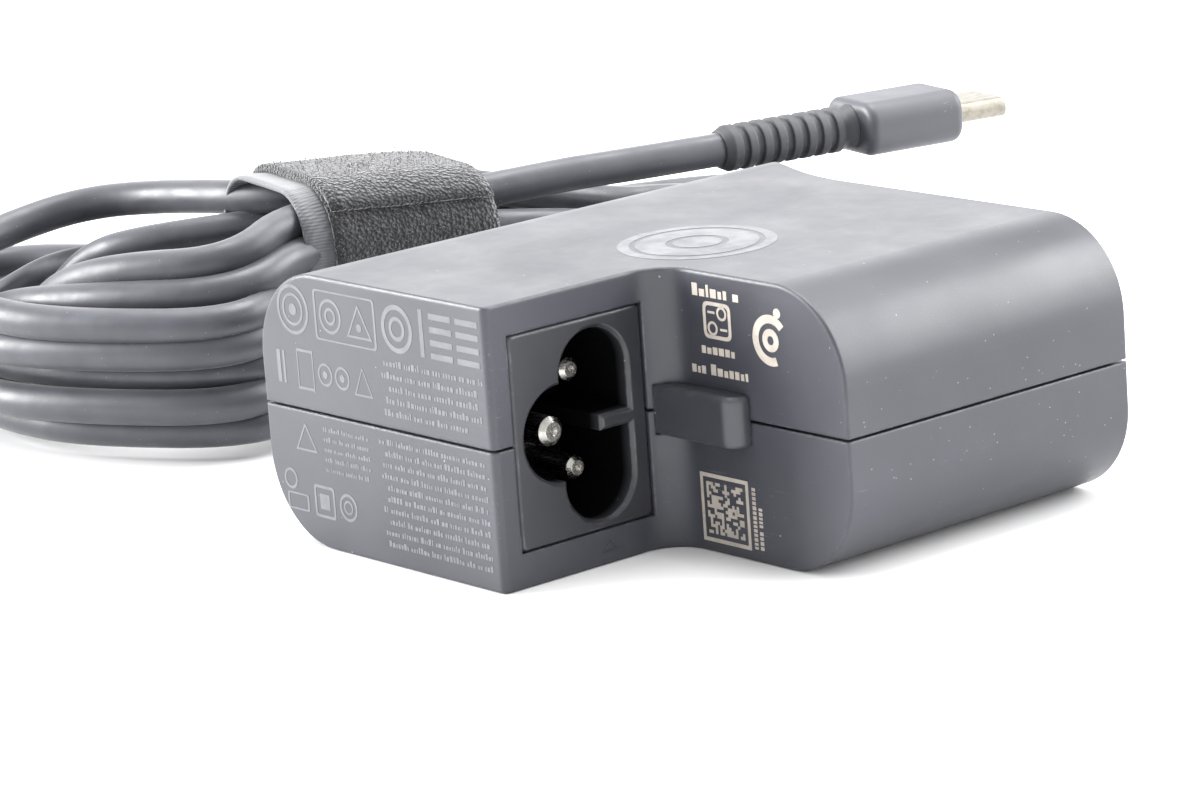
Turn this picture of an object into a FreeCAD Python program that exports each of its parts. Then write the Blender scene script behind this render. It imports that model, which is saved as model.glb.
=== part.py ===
import FreeCAD, Part
import Sketcher
import math
import os

# Laptop power adapter: a two-shell plastic case with a three-pin inlet in a notch at one corner,
# its circuit inside, and a captive low-voltage cord wound into a strapped bundle beside it.
#
# Frame: millimetres, +Z up. The origin is the middle of the case's underside.
# +X is the side the inlet faces, -Y is the label end, +Y is the end where the cord leaves.

doc = FreeCAD.newDocument("laptop_power_adapter")
sheet = doc.addObject("Spreadsheet::Sheet", "Sizes")
sub_parts = []


# ---------------------------------------------------------------- sizes and how they are bound

class Size:
    """A number together with the text of the spreadsheet expression that gives it."""

    def __init__(self, number, text):
        self.number = float(number)
        self.text = text

    def combined(self, other, sign, number):
        return Size(number, "(" + self.text + " " + sign + " " + as_size(other).text + ")")

    def __add__(self, other):
        return self.combined(other, "+", self.number + as_size(other).number)

    def __sub__(self, other):
        return self.combined(other, "-", self.number - as_size(other).number)

    def __mul__(self, other):
        return self.combined(other, "*", self.number * as_size(other).number)

    def __truediv__(self, other):
        return self.combined(other, "/", self.number / as_size(other).number)

    def __neg__(self):
        return Size(-self.number, "(0 - " + self.text + ")")


def as_size(value):
    if isinstance(value, Size):
        return value
    return Size(value, "(" + format(float(value), ".6f") + ")")


rows_used = [0]


def cell(alias, number):
    """Store one driving dimension in the sheet and hand back its Size."""
    rows_used[0] += 1
    address = "B" + str(rows_used[0])
    sheet.set("A" + str(rows_used[0]), alias)
    sheet.set(address, format(float(number), ".6f"))
    sheet.setAlias(address, alias)
    return Size(number, "Sizes." + alias)


def bind(obj, prop, size):
    """Tie a property of an object to the sheet."""
    obj.setExpression(prop, as_size(size).text)


# case
WIDTH = cell("case_width", 62.6)
HEIGHT = cell("case_height", 28.5)
SIDE_LENGTH = cell("case_side_length", 61.0)
NOSE = cell("nose_reach", 5.6)
EDGE = cell("long_edge_radius", 9.4)
WALL = cell("wall", 2.0)
SEAM = cell("seam_gap", 0.3)
LIP = cell("lip_height", 1.2)
LIP_WALL = cell("lip_wall", 0.9)
LIP_FIT = cell("lip_clearance", 0.1)
NOTCH_ACROSS = cell("notch_across", 25.8)
NOTCH_DEEP = cell("notch_deep", 22.4)
NOTCH_FILLET = cell("notch_fillet", 4.0)
CORNER = cell("corner_round", 0.7)
RIM = cell("outer_edge_round", 0.3)
SHARP_TURN = math.radians(20)
NOSE_START = cell("nose_start", 23.4)
NOSE_HOLLOW = cell("nose_hollow_radius", 28.0)
NOSE_ROUND = cell("nose_round_radius", 6.0)
NOSE_SLOPE = math.radians(20.8)

# inlet
PLATE_LONG = cell("inlet_plate_height", 21.75)
PLATE_WIDE = cell("inlet_plate_width", 17.05)
PLATE_Y = cell("inlet_plate_from_end", 2.55)
PLATE_Z = cell("inlet_plate_from_floor", 3.5)
INLET_DEEP = cell("inlet_depth", 14.0)
CAVITY_DEEP = cell("inlet_cavity_depth", 11.5)
LOBE = cell("inlet_lobe_radius", 4.25)
EARTH_LOBE = cell("inlet_earth_lobe_radius", 4.9)
KEY = cell("inlet_key_thickness", 1.6)
PIN_PITCH = cell("pin_pitch", 10.0)
PIN = cell("pin_radius", 1.18)
EARTH_PIN = cell("earth_pin_radius", 1.5)
PIN_SUNK = cell("pin_tip_below_face", 3.7)
EARTH_SUNK = cell("earth_tip_below_face", 1.4)
PIN_TAIL = cell("pin_tail", 3.0)
PIN_COLLAR = cell("pin_collar_step", 0.3)
MOUTH_BEVEL = cell("inlet_mouth_bevel", 0.35)

# latch rail beside the inlet
RAIL_LONG = cell("rail_length", 12.1)
RAIL_TALL = cell("rail_height", 5.15)
RAIL_PROUD = cell("rail_proud", 2.2)
RAIL_TENON = cell("rail_tenon_inset", 1.2)
RAIL_ROUND = cell("rail_end_round", 1.9)
RAIL_SOFT = cell("rail_edge_round", 0.5)

# output cord
CORD = cell("cord_diameter", 4.0)
RELIEF_BASE = cell("relief_base_radius", 3.3)
RELIEF_TIP = cell("relief_tip_radius", 2.45)
RELIEF_LONG = cell("relief_length", 20.0)
RELIEF_FLANGE = cell("relief_flange_radius", 4.3)
RELIEF_FLANGE_THICK = cell("relief_flange_thickness", 1.8)
RELIEF_X = cell("relief_from_side", 6.5)
NOSE_ROOM_END = cell("nose_room_past_back", 0.2)
NOSE_ROOM_WIDE = cell("nose_room_width", 9.0)

# bundle of cord and its strap
BUNDLE_WIDE = cell("bundle_width", 20.8)
BUNDLE_FLOOR = cell("bundle_underside", 1.9)
BUNDLE_TOP = cell("bundle_top", 26.3)
STRAP_LONG = cell("strap_width", 25.0)
STRAP_THICK = cell("strap_thickness", 1.6)
STRAP_CORNER = cell("strap_corner_radius", 3.0)
STRAP_CLEAR = 0.1

# round the working frame
LEFT = -WIDTH / 2
RIGHT = WIDTH / 2
FRONT = -(SIDE_LENGTH + NOSE) / 2
NOSE_END = (SIDE_LENGTH + NOSE) / 2
BACK = FRONT + SIDE_LENGTH
MIDDLE = HEIGHT / 2
INLET_FACE = RIGHT - NOTCH_ACROSS
NOTCH_FACE = FRONT + NOTCH_DEEP
doc.recompute()


# ---------------------------------------------------------------- building helpers

def keep(obj, label):
    """Name a finished sub-part and remember it."""
    obj.Label = label
    sub_parts.append(obj)
    return obj


def new_body(label):
    return keep(doc.addObject("PartDesign::Body", label), label)


def plane(body, role):
    for feature in body.Origin.OriginFeatures:
        if feature.Role == role:
            return feature
    raise ValueError(role)


def new_sketch(body, name, role, offset=0.0):
    """A sketch on one of the body's own planes, moved along the plane's normal by offset."""
    sketch = body.newObject("Sketcher::SketchObject", name)
    sketch.AttachmentSupport = [(plane(body, role), "")]
    sketch.MapMode = "FlatFace"
    bind(sketch, ".AttachmentOffset.Base.z", offset)
    return sketch


def fix_point(sketch, geometry, position, x, y):
    """Hold one point of a sketch at two bound coordinates."""
    for kind, size in (("DistanceX", as_size(x)), ("DistanceY", as_size(y))):
        number = sketch.addConstraint(
            Sketcher.Constraint(kind, -1, 1, geometry, position, size.number))
        if size.text.startswith("(0.000000"):
            continue
        sketch.setExpression("Constraints[" + str(number) + "]", size.text)


def draw_circle(sketch, x, y, radius):
    centre = FreeCAD.Vector(as_size(x).number, as_size(y).number, 0)
    ring = Part.Circle(centre, FreeCAD.Vector(0, 0, 1), as_size(radius).number)
    index = sketch.addGeometry(ring, False)
    number = sketch.addConstraint(Sketcher.Constraint("Radius", index, as_size(radius).number))
    sketch.setExpression("Constraints[" + str(number) + "]", as_size(radius).text)
    fix_point(sketch, index, 3, x, y)


def arc_between(start, end, radius, turns_left):
    """The short arc of a given radius from start to end, turning left or right on the way."""
    chord = end - start
    side = 1.0 if turns_left else -1.0
    across = FreeCAD.Vector(-chord.y, chord.x, 0).normalize()
    rise = math.sqrt(max(radius * radius - chord.Length ** 2 / 4, 0.0))
    centre = (start + end) * 0.5 + across * (side * rise)
    angles = [math.atan2(p.y - centre.y, p.x - centre.x) for p in (start, end)]
    if not turns_left:
        angles.reverse()
    if angles[1] < angles[0]:
        angles[1] += 2 * math.pi
    circle = Part.Circle(centre, FreeCAD.Vector(0, 0, 1), radius)
    return Part.ArcOfCircle(circle, angles[0], angles[1])


def hold_bulge(sketch, index, corner, chord, radius):
    """Bind an arc's radius, or for a half circle, whose radius its ends already give, its middle."""
    if chord.Length < 1.999 * radius.number:
        number = sketch.addConstraint(Sketcher.Constraint("Radius", index, radius.number))
        held = radius
    else:
        level = abs(chord.x) > abs(chord.y)
        held = as_size(corner[1] if level else corner[0])
        kind = "DistanceY" if level else "DistanceX"
        number = sketch.addConstraint(Sketcher.Constraint(kind, -1, 1, index, 3, held.number))
    sketch.setExpression("Constraints[" + str(number) + "]", held.text)


def draw_outline(sketch, corners):
    """Draw a closed outline.

    Each corner is (x, y) followed by nothing for a straight edge to the next corner, or by
    (radius, turns_left) for an arc to it. Every corner is bound to the sheet.
    """
    count = len(corners)
    points = [FreeCAD.Vector(as_size(c[0]).number, as_size(c[1]).number, 0) for c in corners]
    first = sketch.GeometryCount
    starts = []
    ends = []
    for i, corner in enumerate(corners):
        start = points[i]
        end = points[(i + 1) % count]
        if len(corner) == 4:
            radius = as_size(corner[2])
            edge = arc_between(start, end, radius.number, corner[3])
            index = sketch.addGeometry(edge, False)
            starts.append(1 if corner[3] else 2)
            ends.append(2 if corner[3] else 1)
            hold_bulge(sketch, index, corner, (end - start), radius)
        else:
            sketch.addGeometry(Part.LineSegment(start, end), False)
            starts.append(1)
            ends.append(2)
    for i in range(count):
        after = (i + 1) % count
        sketch.addConstraint(Sketcher.Constraint(
            "Coincident", first + i, ends[i], first + after, starts[after]))
    for i, corner in enumerate(corners):
        fix_point(sketch, first + i, starts[i], corner[0], corner[1])


def rectangle(x0, y0, x1, y1):
    return [(x0, y0), (x1, y0), (x1, y1), (x0, y1)]


def rounded_rectangle(x0, y0, x1, y1, radius):
    x0, y0, x1, y1 = [as_size(v) for v in (x0, y0, x1, y1)]
    return [(x0 + radius, y0), (x1 - radius, y0, radius, True),
            (x1, y0 + radius), (x1, y1 - radius, radius, True),
            (x1 - radius, y1), (x0 + radius, y1, radius, True),
            (x0, y1 - radius), (x0, y0 + radius, radius, True)]


def add_material(body, kind, name, sketch, length, reverse=False):
    """Pad or pocket a sketch by a bound length, and check that it changed the solid."""
    doc.recompute()
    before = body.Shape.Volume if body.Tip else 0.0
    feature = body.newObject("PartDesign::" + kind, name)
    feature.Profile = sketch
    bind(feature, "Length", length)
    feature.Reversed = reverse
    sketch.Visibility = False
    doc.recompute()
    change = body.Shape.Volume - before
    if kind == "Pad" and change <= 1e-6 or kind == "Pocket" and change >= -1e-6:
        raise ValueError(body.Label + " " + name + " changed nothing")
    return feature


def pad(body, name, sketch, length, reverse=False):
    return add_material(body, "Pad", name, sketch, length, reverse)


def pocket(body, name, sketch, length, reverse=False):
    return add_material(body, "Pocket", name, sketch, length, reverse)


def sharp_edges(shape, wanted):
    """Names of the edges whose two faces meet at an angle, among those that wanted accepts."""
    names = []
    for i, edge in enumerate(shape.Edges):
        faces = shape.ancestorsOfType(edge, Part.Face)
        if len(faces) != 2 or not wanted(edge):
            continue
        middle = edge.valueAt((edge.FirstParameter + edge.LastParameter) / 2)
        first, second = [face.normalAt(*face.Surface.parameter(middle)) for face in faces]
        if first.getAngle(second) > SHARP_TURN:
            names.append("Edge" + str(i + 1))
    return names


def soften(body, kind, name, size, wanted):
    """Round (Fillet) or bevel (Chamfer) the sharp edges of a body that wanted accepts."""
    doc.recompute()
    base = body.Tip
    before = base.Shape.Volume
    feature = body.newObject("PartDesign::" + kind, name)
    feature.Base = (base, sharp_edges(base.Shape, wanted))
    bind(feature, "Radius" if kind == "Fillet" else "Size", size)
    body.Tip = feature
    doc.recompute()
    if abs(body.Shape.Volume - before) < 1e-6 or not body.Shape.isValid():
        raise ValueError(body.Label + " " + name + " changed nothing")
    return feature


def place(obj, x, y, z):
    """Bind where an object stands."""
    for axis, value in (("x", x), ("y", y), ("z", z)):
        bind(obj, ".Placement.Base." + axis, value)


def box(name, x, y, z, long, wide, tall):
    """A block from its lowest corner."""
    block = doc.addObject("Part::Box", name)
    for prop, size in (("Length", long), ("Width", wide), ("Height", tall)):
        bind(block, prop, size)
    place(block, x, y, z)
    return block


UPRIGHT = FreeCAD.Rotation()
ALONG_X = FreeCAD.Rotation(FreeCAD.Vector(0, 1, 0), 90)
ALONG_Y = FreeCAD.Rotation(FreeCAD.Vector(1, 0, 0), -90)


def cylinder(name, x, y, z, radius, height, turned=UPRIGHT):
    """A round bar from the middle of its starting face."""
    bar = doc.addObject("Part::Cylinder", name)
    bar.Placement = FreeCAD.Placement(FreeCAD.Vector(), turned)
    bind(bar, "Radius", radius)
    bind(bar, "Height", height)
    place(bar, x, y, z)
    return bar


def cone(name, x, y, z, radius, end_radius, height, turned=UPRIGHT):
    piece = doc.addObject("Part::Cone", name)
    piece.Placement = FreeCAD.Placement(FreeCAD.Vector(), turned)
    bind(piece, "Radius1", radius)
    bind(piece, "Radius2", end_radius)
    bind(piece, "Height", height)
    place(piece, x, y, z)
    return piece


def fused(name, pieces):
    whole = doc.addObject("Part::MultiFuse", name)
    whole.Shapes = pieces
    whole.Refine = True
    return whole


def cut(name, base, tool):
    whole = doc.addObject("Part::Cut", name)
    whole.Base = base
    whole.Tool = tool
    whole.Refine = True
    return whole


# ---------------------------------------------------------------- the case

def plan_outline(inset):
    """The case's outline seen from above, moved inwards by inset.

    It starts at the label end, runs round the notch at the inlet corner, and ends with the
    soft S of the nose where the cord leaves.
    """
    d = as_size(inset)
    sine = math.sin(NOSE_SLOPE)
    cosine = math.cos(NOSE_SLOPE)
    bend_x = LEFT + NOSE_START
    slope_run = (NOSE - (NOSE_HOLLOW + NOSE_ROUND) * (1 - cosine)) / sine
    crown_x = bend_x - NOSE_HOLLOW * sine - slope_run * cosine - NOSE_ROUND * sine
    corners = [(LEFT + d, FRONT + d)]
    if d.number < CORNER.number:
        corners += [(INLET_FACE - CORNER, FRONT + d, CORNER - d, True),
                    (INLET_FACE - d, FRONT + CORNER)]
    else:
        corners += [(INLET_FACE - d, FRONT + d)]
    corners += [(INLET_FACE - d, NOTCH_FACE - NOTCH_FILLET, NOTCH_FILLET + d, False),
                (INLET_FACE + NOTCH_FILLET, NOTCH_FACE + d),
                (RIGHT - d, NOTCH_FACE + d),
                (RIGHT - d, BACK - d),
                (bend_x, BACK - d, NOSE_HOLLOW + d, False),
                (bend_x - (NOSE_HOLLOW + d) * sine, BACK + NOSE_HOLLOW - (NOSE_HOLLOW + d) * cosine),
                (crown_x + (NOSE_ROUND - d) * sine,
                 NOSE_END - NOSE_ROUND + (NOSE_ROUND - d) * cosine, NOSE_ROUND - d, True),
                (crown_x, NOSE_END - d),
                (LEFT + d, NOSE_END - d)]
    return corners


def half_profile(side, seam, left, right, top, radius, right_round):
    """Half of the case's cross-section, from the seam to its outer face.

    side is +1 for the upper half and -1 for the lower one. The far corners have the given radius;
    the right one stays square where a flat wall closes it.
    """
    level = MIDDLE + seam * side
    face = MIDDLE + top * side
    shoulder = MIDDLE + (top - radius) * side
    left_way = side < 0
    corners = [(left, level), (right, level)]
    if right_round:
        corners += [(right, shoulder, radius, not left_way), (right - radius, face)]
    else:
        corners += [(right, face)]
    corners += [(left + radius, face, radius, not left_way), (left, shoulder)]
    return corners


def case_shell(label, side):
    """One half of the case, open at the seam, with its windows for the inlet, rail and cord."""
    body = new_body(label)
    half = MIDDLE
    inner = HEIGHT / 2 - WALL
    # sketches on the XZ plane look along +Y, so their own normal is -Y
    outer = new_sketch(body, "profile", "XZ_Plane", -FRONT)
    draw_outline(outer, half_profile(side, SEAM / 2, LEFT, RIGHT, half, EDGE, True))
    pad(body, "bar", outer, SIDE_LENGTH + NOSE, True)

    plan = new_sketch(body, "plan", "XY_Plane", -1)
    draw_outline(plan, rectangle(LEFT - 2, FRONT - 2, RIGHT + 2, NOSE_END + 2))
    draw_outline(plan, plan_outline(0))
    pocket(body, "trimmed_to_plan", plan, HEIGHT + 2, True)
    seam_level = (MIDDLE + SEAM / 2 * side).number
    soften(body, "Fillet", "soft_rim", RIM,
           lambda edge: any(abs(v.Point.z - seam_level) > 0.01 for v in edge.Vertexes))

    rooms = (
        ("main_room", NOTCH_FACE + WALL, BACK - WALL, RIGHT - WALL, True),
        ("inlet_room", FRONT + WALL, NOTCH_FACE + WALL + 1, INLET_FACE - WALL, False),
        ("nose_room", BACK - WALL - 1, BACK + NOSE_ROOM_END, LEFT + WALL + NOSE_ROOM_WIDE, False))
    for name, start, end, right, right_round in rooms:
        room = new_sketch(body, name + "_profile", "XZ_Plane", -start)
        draw_outline(room, half_profile(side, SEAM / 2 - 0.2, LEFT + WALL, right, inner,
                                        EDGE - WALL, right_round))
        pocket(body, name, room, end - start)

    # tongue on the lower half, rebate for it in the upper half
    rim = new_sketch(body, "rim", "XY_Plane", MIDDLE + SEAM / 2 * side)
    if side < 0:
        draw_outline(rim, plan_outline(WALL - LIP_WALL))
        draw_outline(rim, plan_outline(WALL))
        pad(body, "tongue", rim, LIP)
    else:
        draw_outline(rim, plan_outline(WALL - LIP_WALL - LIP_FIT))
        draw_outline(rim, plan_outline(WALL + LIP_FIT))
        pocket(body, "rebate", rim, LIP, True)

    window = new_sketch(body, "inlet_window", "YZ_Plane", INLET_FACE - WALL - 2)
    draw_outline(window, rectangle(FRONT + PLATE_Y, PLATE_Z,
                                   FRONT + PLATE_Y + PLATE_WIDE, PLATE_Z + PLATE_LONG))
    pocket(body, "inlet_opening", window, WALL + 4, True)

    slot = new_sketch(body, "rail_slot", "XY_Plane", MIDDLE - RAIL_TALL / 2)
    draw_outline(slot, rectangle(INLET_FACE, NOTCH_FACE - RAIL_PROUD,
                                 INLET_FACE + RAIL_LONG, NOTCH_FACE))
    pocket(body, "rail_seat", slot, RAIL_TALL, True)
    tenon = new_sketch(body, "tenon_slot", "XY_Plane", MIDDLE - RAIL_TALL / 2 + RAIL_TENON)
    draw_outline(tenon, rectangle(INLET_FACE + RAIL_TENON * 2, NOTCH_FACE - RAIL_PROUD,
                                  INLET_FACE + RAIL_LONG - RAIL_TENON, NOTCH_FACE + WALL + 1))
    pocket(body, "tenon_hole", tenon, RAIL_TALL - RAIL_TENON * 2, True)

    gland = new_sketch(body, "gland_circle", "XZ_Plane", -(NOSE_END + 1))
    draw_circle(gland, LEFT + RELIEF_X, MIDDLE, RELIEF_BASE)
    pocket(body, "gland_hole", gland, NOSE + 2, True)
    return body


def build_case():
    case_shell("upper_shell", 1)
    case_shell("lower_shell", -1)


# ---------------------------------------------------------------- inlet, pins and rail

LINE_Y = FRONT + 13.25
EARTH_Y = FRONT + 8.65


def cavity_outline():
    """Three-lobed mouth of the inlet: a lobe above and below, the earth lobe towards the label end,
    a flat wall on the other side with a key standing off it."""
    flat_y = FRONT + 17.4
    key_y = FRONT + 13.6
    top_z = MIDDLE + PIN_PITCH / 2 + 0.4
    low_z = MIDDLE - PIN_PITCH / 2 - 0.4
    waist_y = flat_y - LOBE * 2
    return [
        (flat_y, low_z), (flat_y, MIDDLE - KEY / 2), (key_y, MIDDLE - KEY / 2),
        (key_y, MIDDLE + KEY / 2), (flat_y, MIDDLE + KEY / 2),
        (flat_y, top_z, LOBE, True), (waist_y, top_z),
        (waist_y, MIDDLE + EARTH_LOBE, EARTH_LOBE, True),
        (waist_y, MIDDLE - EARTH_LOBE), (waist_y, low_z, LOBE, True)]


def build_inlet():
    """Moulded inlet: a block set flush in the notch wall, with a deep lobed cavity and pin holes."""
    body = new_body("ac_inlet_housing")
    block = new_sketch(body, "plate", "YZ_Plane", INLET_FACE - INLET_DEEP)
    draw_outline(block, rounded_rectangle(
        FRONT + PLATE_Y, PLATE_Z, FRONT + PLATE_Y + PLATE_WIDE, PLATE_Z + PLATE_LONG, 0.7))
    pad(body, "block", block, INLET_DEEP)
    mouth = new_sketch(body, "mouth", "YZ_Plane", INLET_FACE + 1)
    draw_outline(mouth, cavity_outline())
    pocket(body, "cavity", mouth, CAVITY_DEEP + 1)
    holes = new_sketch(body, "pin_holes", "YZ_Plane", INLET_FACE)
    draw_circle(holes, LINE_Y, MIDDLE + PIN_PITCH / 2, PIN + PIN_COLLAR)
    draw_circle(holes, LINE_Y, MIDDLE - PIN_PITCH / 2, PIN + PIN_COLLAR)
    draw_circle(holes, EARTH_Y, MIDDLE, EARTH_PIN + PIN_COLLAR)
    pocket(body, "pin_bores", holes, INLET_DEEP + 1)
    face = INLET_FACE.number
    soften(body, "Chamfer", "bevelled_mouth", MOUTH_BEVEL,
           lambda edge: all(abs(v.Point.x - face) < 0.01 for v in edge.Vertexes))


def build_pin(label, y, z, radius, sunk):
    """A round contact pin: solder tail, collar held in the block, shank and a chamfered tip."""
    chamfer = radius * 0.35
    block_back = INLET_FACE - INLET_DEEP
    floor = INLET_FACE - CAVITY_DEEP
    tip = INLET_FACE - sunk
    tail = cylinder(label + "_tail", block_back - PIN_TAIL, y, z, radius * 0.8, PIN_TAIL, ALONG_X)
    collar = cylinder(label + "_collar", block_back, y, z, radius + PIN_COLLAR,
                      floor - block_back, ALONG_X)
    shank = cylinder(label + "_shank", floor, y, z, radius, tip - chamfer - floor, ALONG_X)
    point = cone(label + "_tip", tip - chamfer, y, z, radius, radius - chamfer, chamfer, ALONG_X)
    dimple = cone(label + "_dimple", tip - chamfer, y, z, radius * 0.05, radius * 0.3, chamfer, ALONG_X)
    keep(cut(label, fused(label + "_blank", [tail, collar, shank, point]), dimple), label)


def build_pins():
    build_pin("line_pin", LINE_Y, MIDDLE + PIN_PITCH / 2, PIN, PIN_SUNK)
    build_pin("neutral_pin", LINE_Y, MIDDLE - PIN_PITCH / 2, PIN, PIN_SUNK)
    build_pin("earth_pin", EARTH_Y, MIDDLE, EARTH_PIN, EARTH_SUNK)


def build_rail():
    """The rail beside the inlet that a clip-on plug slides over, held by a tenon in the wall."""
    body = new_body("latch_rail")
    bar = new_sketch(body, "bar", "XY_Plane", MIDDLE - RAIL_TALL / 2)
    draw_outline(bar, [
        (INLET_FACE, NOTCH_FACE), (INLET_FACE, NOTCH_FACE - RAIL_PROUD),
        (INLET_FACE + RAIL_LONG - RAIL_ROUND, NOTCH_FACE - RAIL_PROUD, RAIL_ROUND, True),
        (INLET_FACE + RAIL_LONG, NOTCH_FACE - RAIL_PROUD + RAIL_ROUND),
        (INLET_FACE + RAIL_LONG, NOTCH_FACE)])
    pad(body, "rail", bar, RAIL_TALL)
    tenon = new_sketch(body, "tenon", "XY_Plane", MIDDLE - RAIL_TALL / 2 + RAIL_TENON)
    draw_outline(tenon, rectangle(INLET_FACE + RAIL_TENON * 2, NOTCH_FACE,
                                  INLET_FACE + RAIL_LONG - RAIL_TENON, NOTCH_FACE + WALL + 0.5))
    pad(body, "tenon_block", tenon, RAIL_TALL - RAIL_TENON * 2)
    wall = NOTCH_FACE.number - 0.01
    start = INLET_FACE.number + 0.01
    soften(body, "Fillet", "rubbed_edges", RAIL_SOFT,
           lambda edge: all(v.Point.y < wall and v.Point.x > start for v in edge.Vertexes))


# ---------------------------------------------------------------- cord, bundle, strap and plug

# the lead's route from the strain relief down to the surface and round to the bundle
LEAD_ROUTE = (
    (-24.8, 53.3, 14.25), (-24.8, 60.6, 14.25), (-29.6, 71.0, 8.2), (-39.5, 77.4, 3.6),
    (-50.5, 79.4, 2.1), (-61.2, 76.9, 2.1), (-68.0, 70.2, 2.1), (-71.0, 61.6, 2.1),
    (-73.5, 51.3, 2.1), (-75.6, 41.5, 2.1))
# the tail's route from the strap, along the top of the bundle, to the plug
TAIL_ROUTE = (
    (-60.9, 24.1, 24.3), (-59.02, 32.92, 24.3), (-57.08, 42.08, 23.2), (-55.14, 51.19, 23.2))

BUNDLE_X = cell("bundle_middle_x", -70.3)
BUNDLE_Y = cell("bundle_middle_y", 9.7)
BUNDLE_TURN = 12.0
OPEN_TOP = cell("open_loops_top", 25.0)
CLOSED_TOP = cell("closed_loops_top", 20.4)
PLUG_X = cell("plug_relief_start_x", -55.14)
PLUG_Y = cell("plug_relief_start_y", 51.19)
PLUG_Z = cell("plug_axis_height", 23.2)
PLUG_TURN = 12.0
PLUG_RELIEF_LONG = cell("plug_relief_length", 18.0)
PLUG_RELIEF_RADIUS = cell("plug_relief_radius", 2.75)
PLUG_WIDE = cell("plug_body_width", 10.8)
PLUG_THICK = cell("plug_body_thickness", 6.4)
PLUG_LONG = cell("plug_body_length", 13.0)
TIP_WIDE = cell("plug_tip_width", 8.25)
TIP_THICK = cell("plug_tip_thickness", 2.4)
TIP_LONG = cell("plug_tip_length", 6.65)
TIP_SHEET = cell("plug_tip_sheet", 0.3)
doc.recompute()


def turned_frame(x, y, z, degrees):
    """A placement whose local Y leans towards +X by the given angle."""
    turn = FreeCAD.Rotation(FreeCAD.Vector(0, 0, 1), -degrees)
    return FreeCAD.Placement(FreeCAD.Vector(x.number, y.number, as_size(z).number), turn)


def smooth_path(points, ratio=0.45):
    """Straight runs joined by tangent arcs, each as large as its two runs allow."""
    edges = []
    radii = []
    at = points[0]
    for before, corner, after in zip(points, points[1:], points[2:]):
        back = (before - corner).normalize()
        ahead = (after - corner).normalize()
        turn = math.pi - back.getAngle(ahead)
        shorter = min((before - corner).Length, (after - corner).Length)
        setback = ratio * shorter
        radii.append(setback / math.tan(turn / 2))
        start = corner + back * setback
        end = corner + ahead * setback
        bisector = (back + ahead).normalize()
        to_centre = math.hypot(radii[-1], setback)
        middle = corner + bisector * (to_centre - radii[-1])
        edges.append(Part.LineSegment(at, start).toShape())
        edges.append(Part.Arc(start, middle, end).toShape())
        at = end
    edges.append(Part.LineSegment(at, points[-1]).toShape())
    return Part.Wire(edges), radii


def tube(label, route, diameter):
    """A round cord along a route, as one solid, checked against section times length."""
    points = [FreeCAD.Vector(*p) for p in route]
    path, radii = smooth_path(points)
    start = (points[1] - points[0]).normalize()
    ring = Part.Wire([Part.makeCircle(diameter.number / 2, points[0], start)])
    solid = path.makePipeShell([ring], True, False)
    expected = math.pi * diameter.number ** 2 / 4 * path.Length
    if abs(solid.Volume - expected) > 0.01 * expected:
        raise ValueError(label + " volume is " + str(solid.Volume) + ", not " + str(expected))
    print(label, "length", round(path.Length, 1), "radii", [round(r, 1) for r in radii])
    feature = doc.addObject("Part::Feature", label)
    feature.Shape = solid
    feature.Placement = FreeCAD.Placement()
    return keep(feature, label)


def build_strain_relief():
    """Moulded sleeve gripped by the nose: a flange inside, a neck, and a ribbed taper outside."""
    body = new_body("cord_strain_relief")
    foot = BACK + NOSE_ROOM_END - RELIEF_FLANGE_THICK
    body.Placement = FreeCAD.Placement(
        FreeCAD.Vector((LEFT + RELIEF_X).number, foot.number, MIDDLE.number), FreeCAD.Rotation())
    outside = (NOSE_END - foot).number
    whole = outside + RELIEF_LONG.number
    profile = new_sketch(body, "half_section", "XY_Plane")
    ribs = 7
    groove = 0.45
    corners = [(0, 0), (RELIEF_FLANGE, 0), (RELIEF_FLANGE, RELIEF_FLANGE_THICK),
               (RELIEF_BASE, RELIEF_FLANGE_THICK), (RELIEF_BASE, outside + 0.6)]
    step = (RELIEF_LONG.number - 2.6) / ribs
    for i in range(ribs):
        share = (i + 1) / ribs
        radius = RELIEF_BASE * (1 - share) + RELIEF_TIP * share
        low = outside + 0.6 + step * i
        corners += [(radius - groove, low + 0.1), (radius - groove, low + step * 0.45),
                    (radius, low + step * 0.45 + 0.1), (radius, low + step)]
    corners += [(RELIEF_TIP, whole), (0, whole)]
    draw_outline(profile, corners)
    doc.recompute()
    turned = body.newObject("PartDesign::Revolution", "sleeve")
    turned.Profile = profile
    turned.ReferenceAxis = (profile, ["V_Axis"])
    turned.Angle = 360


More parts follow.
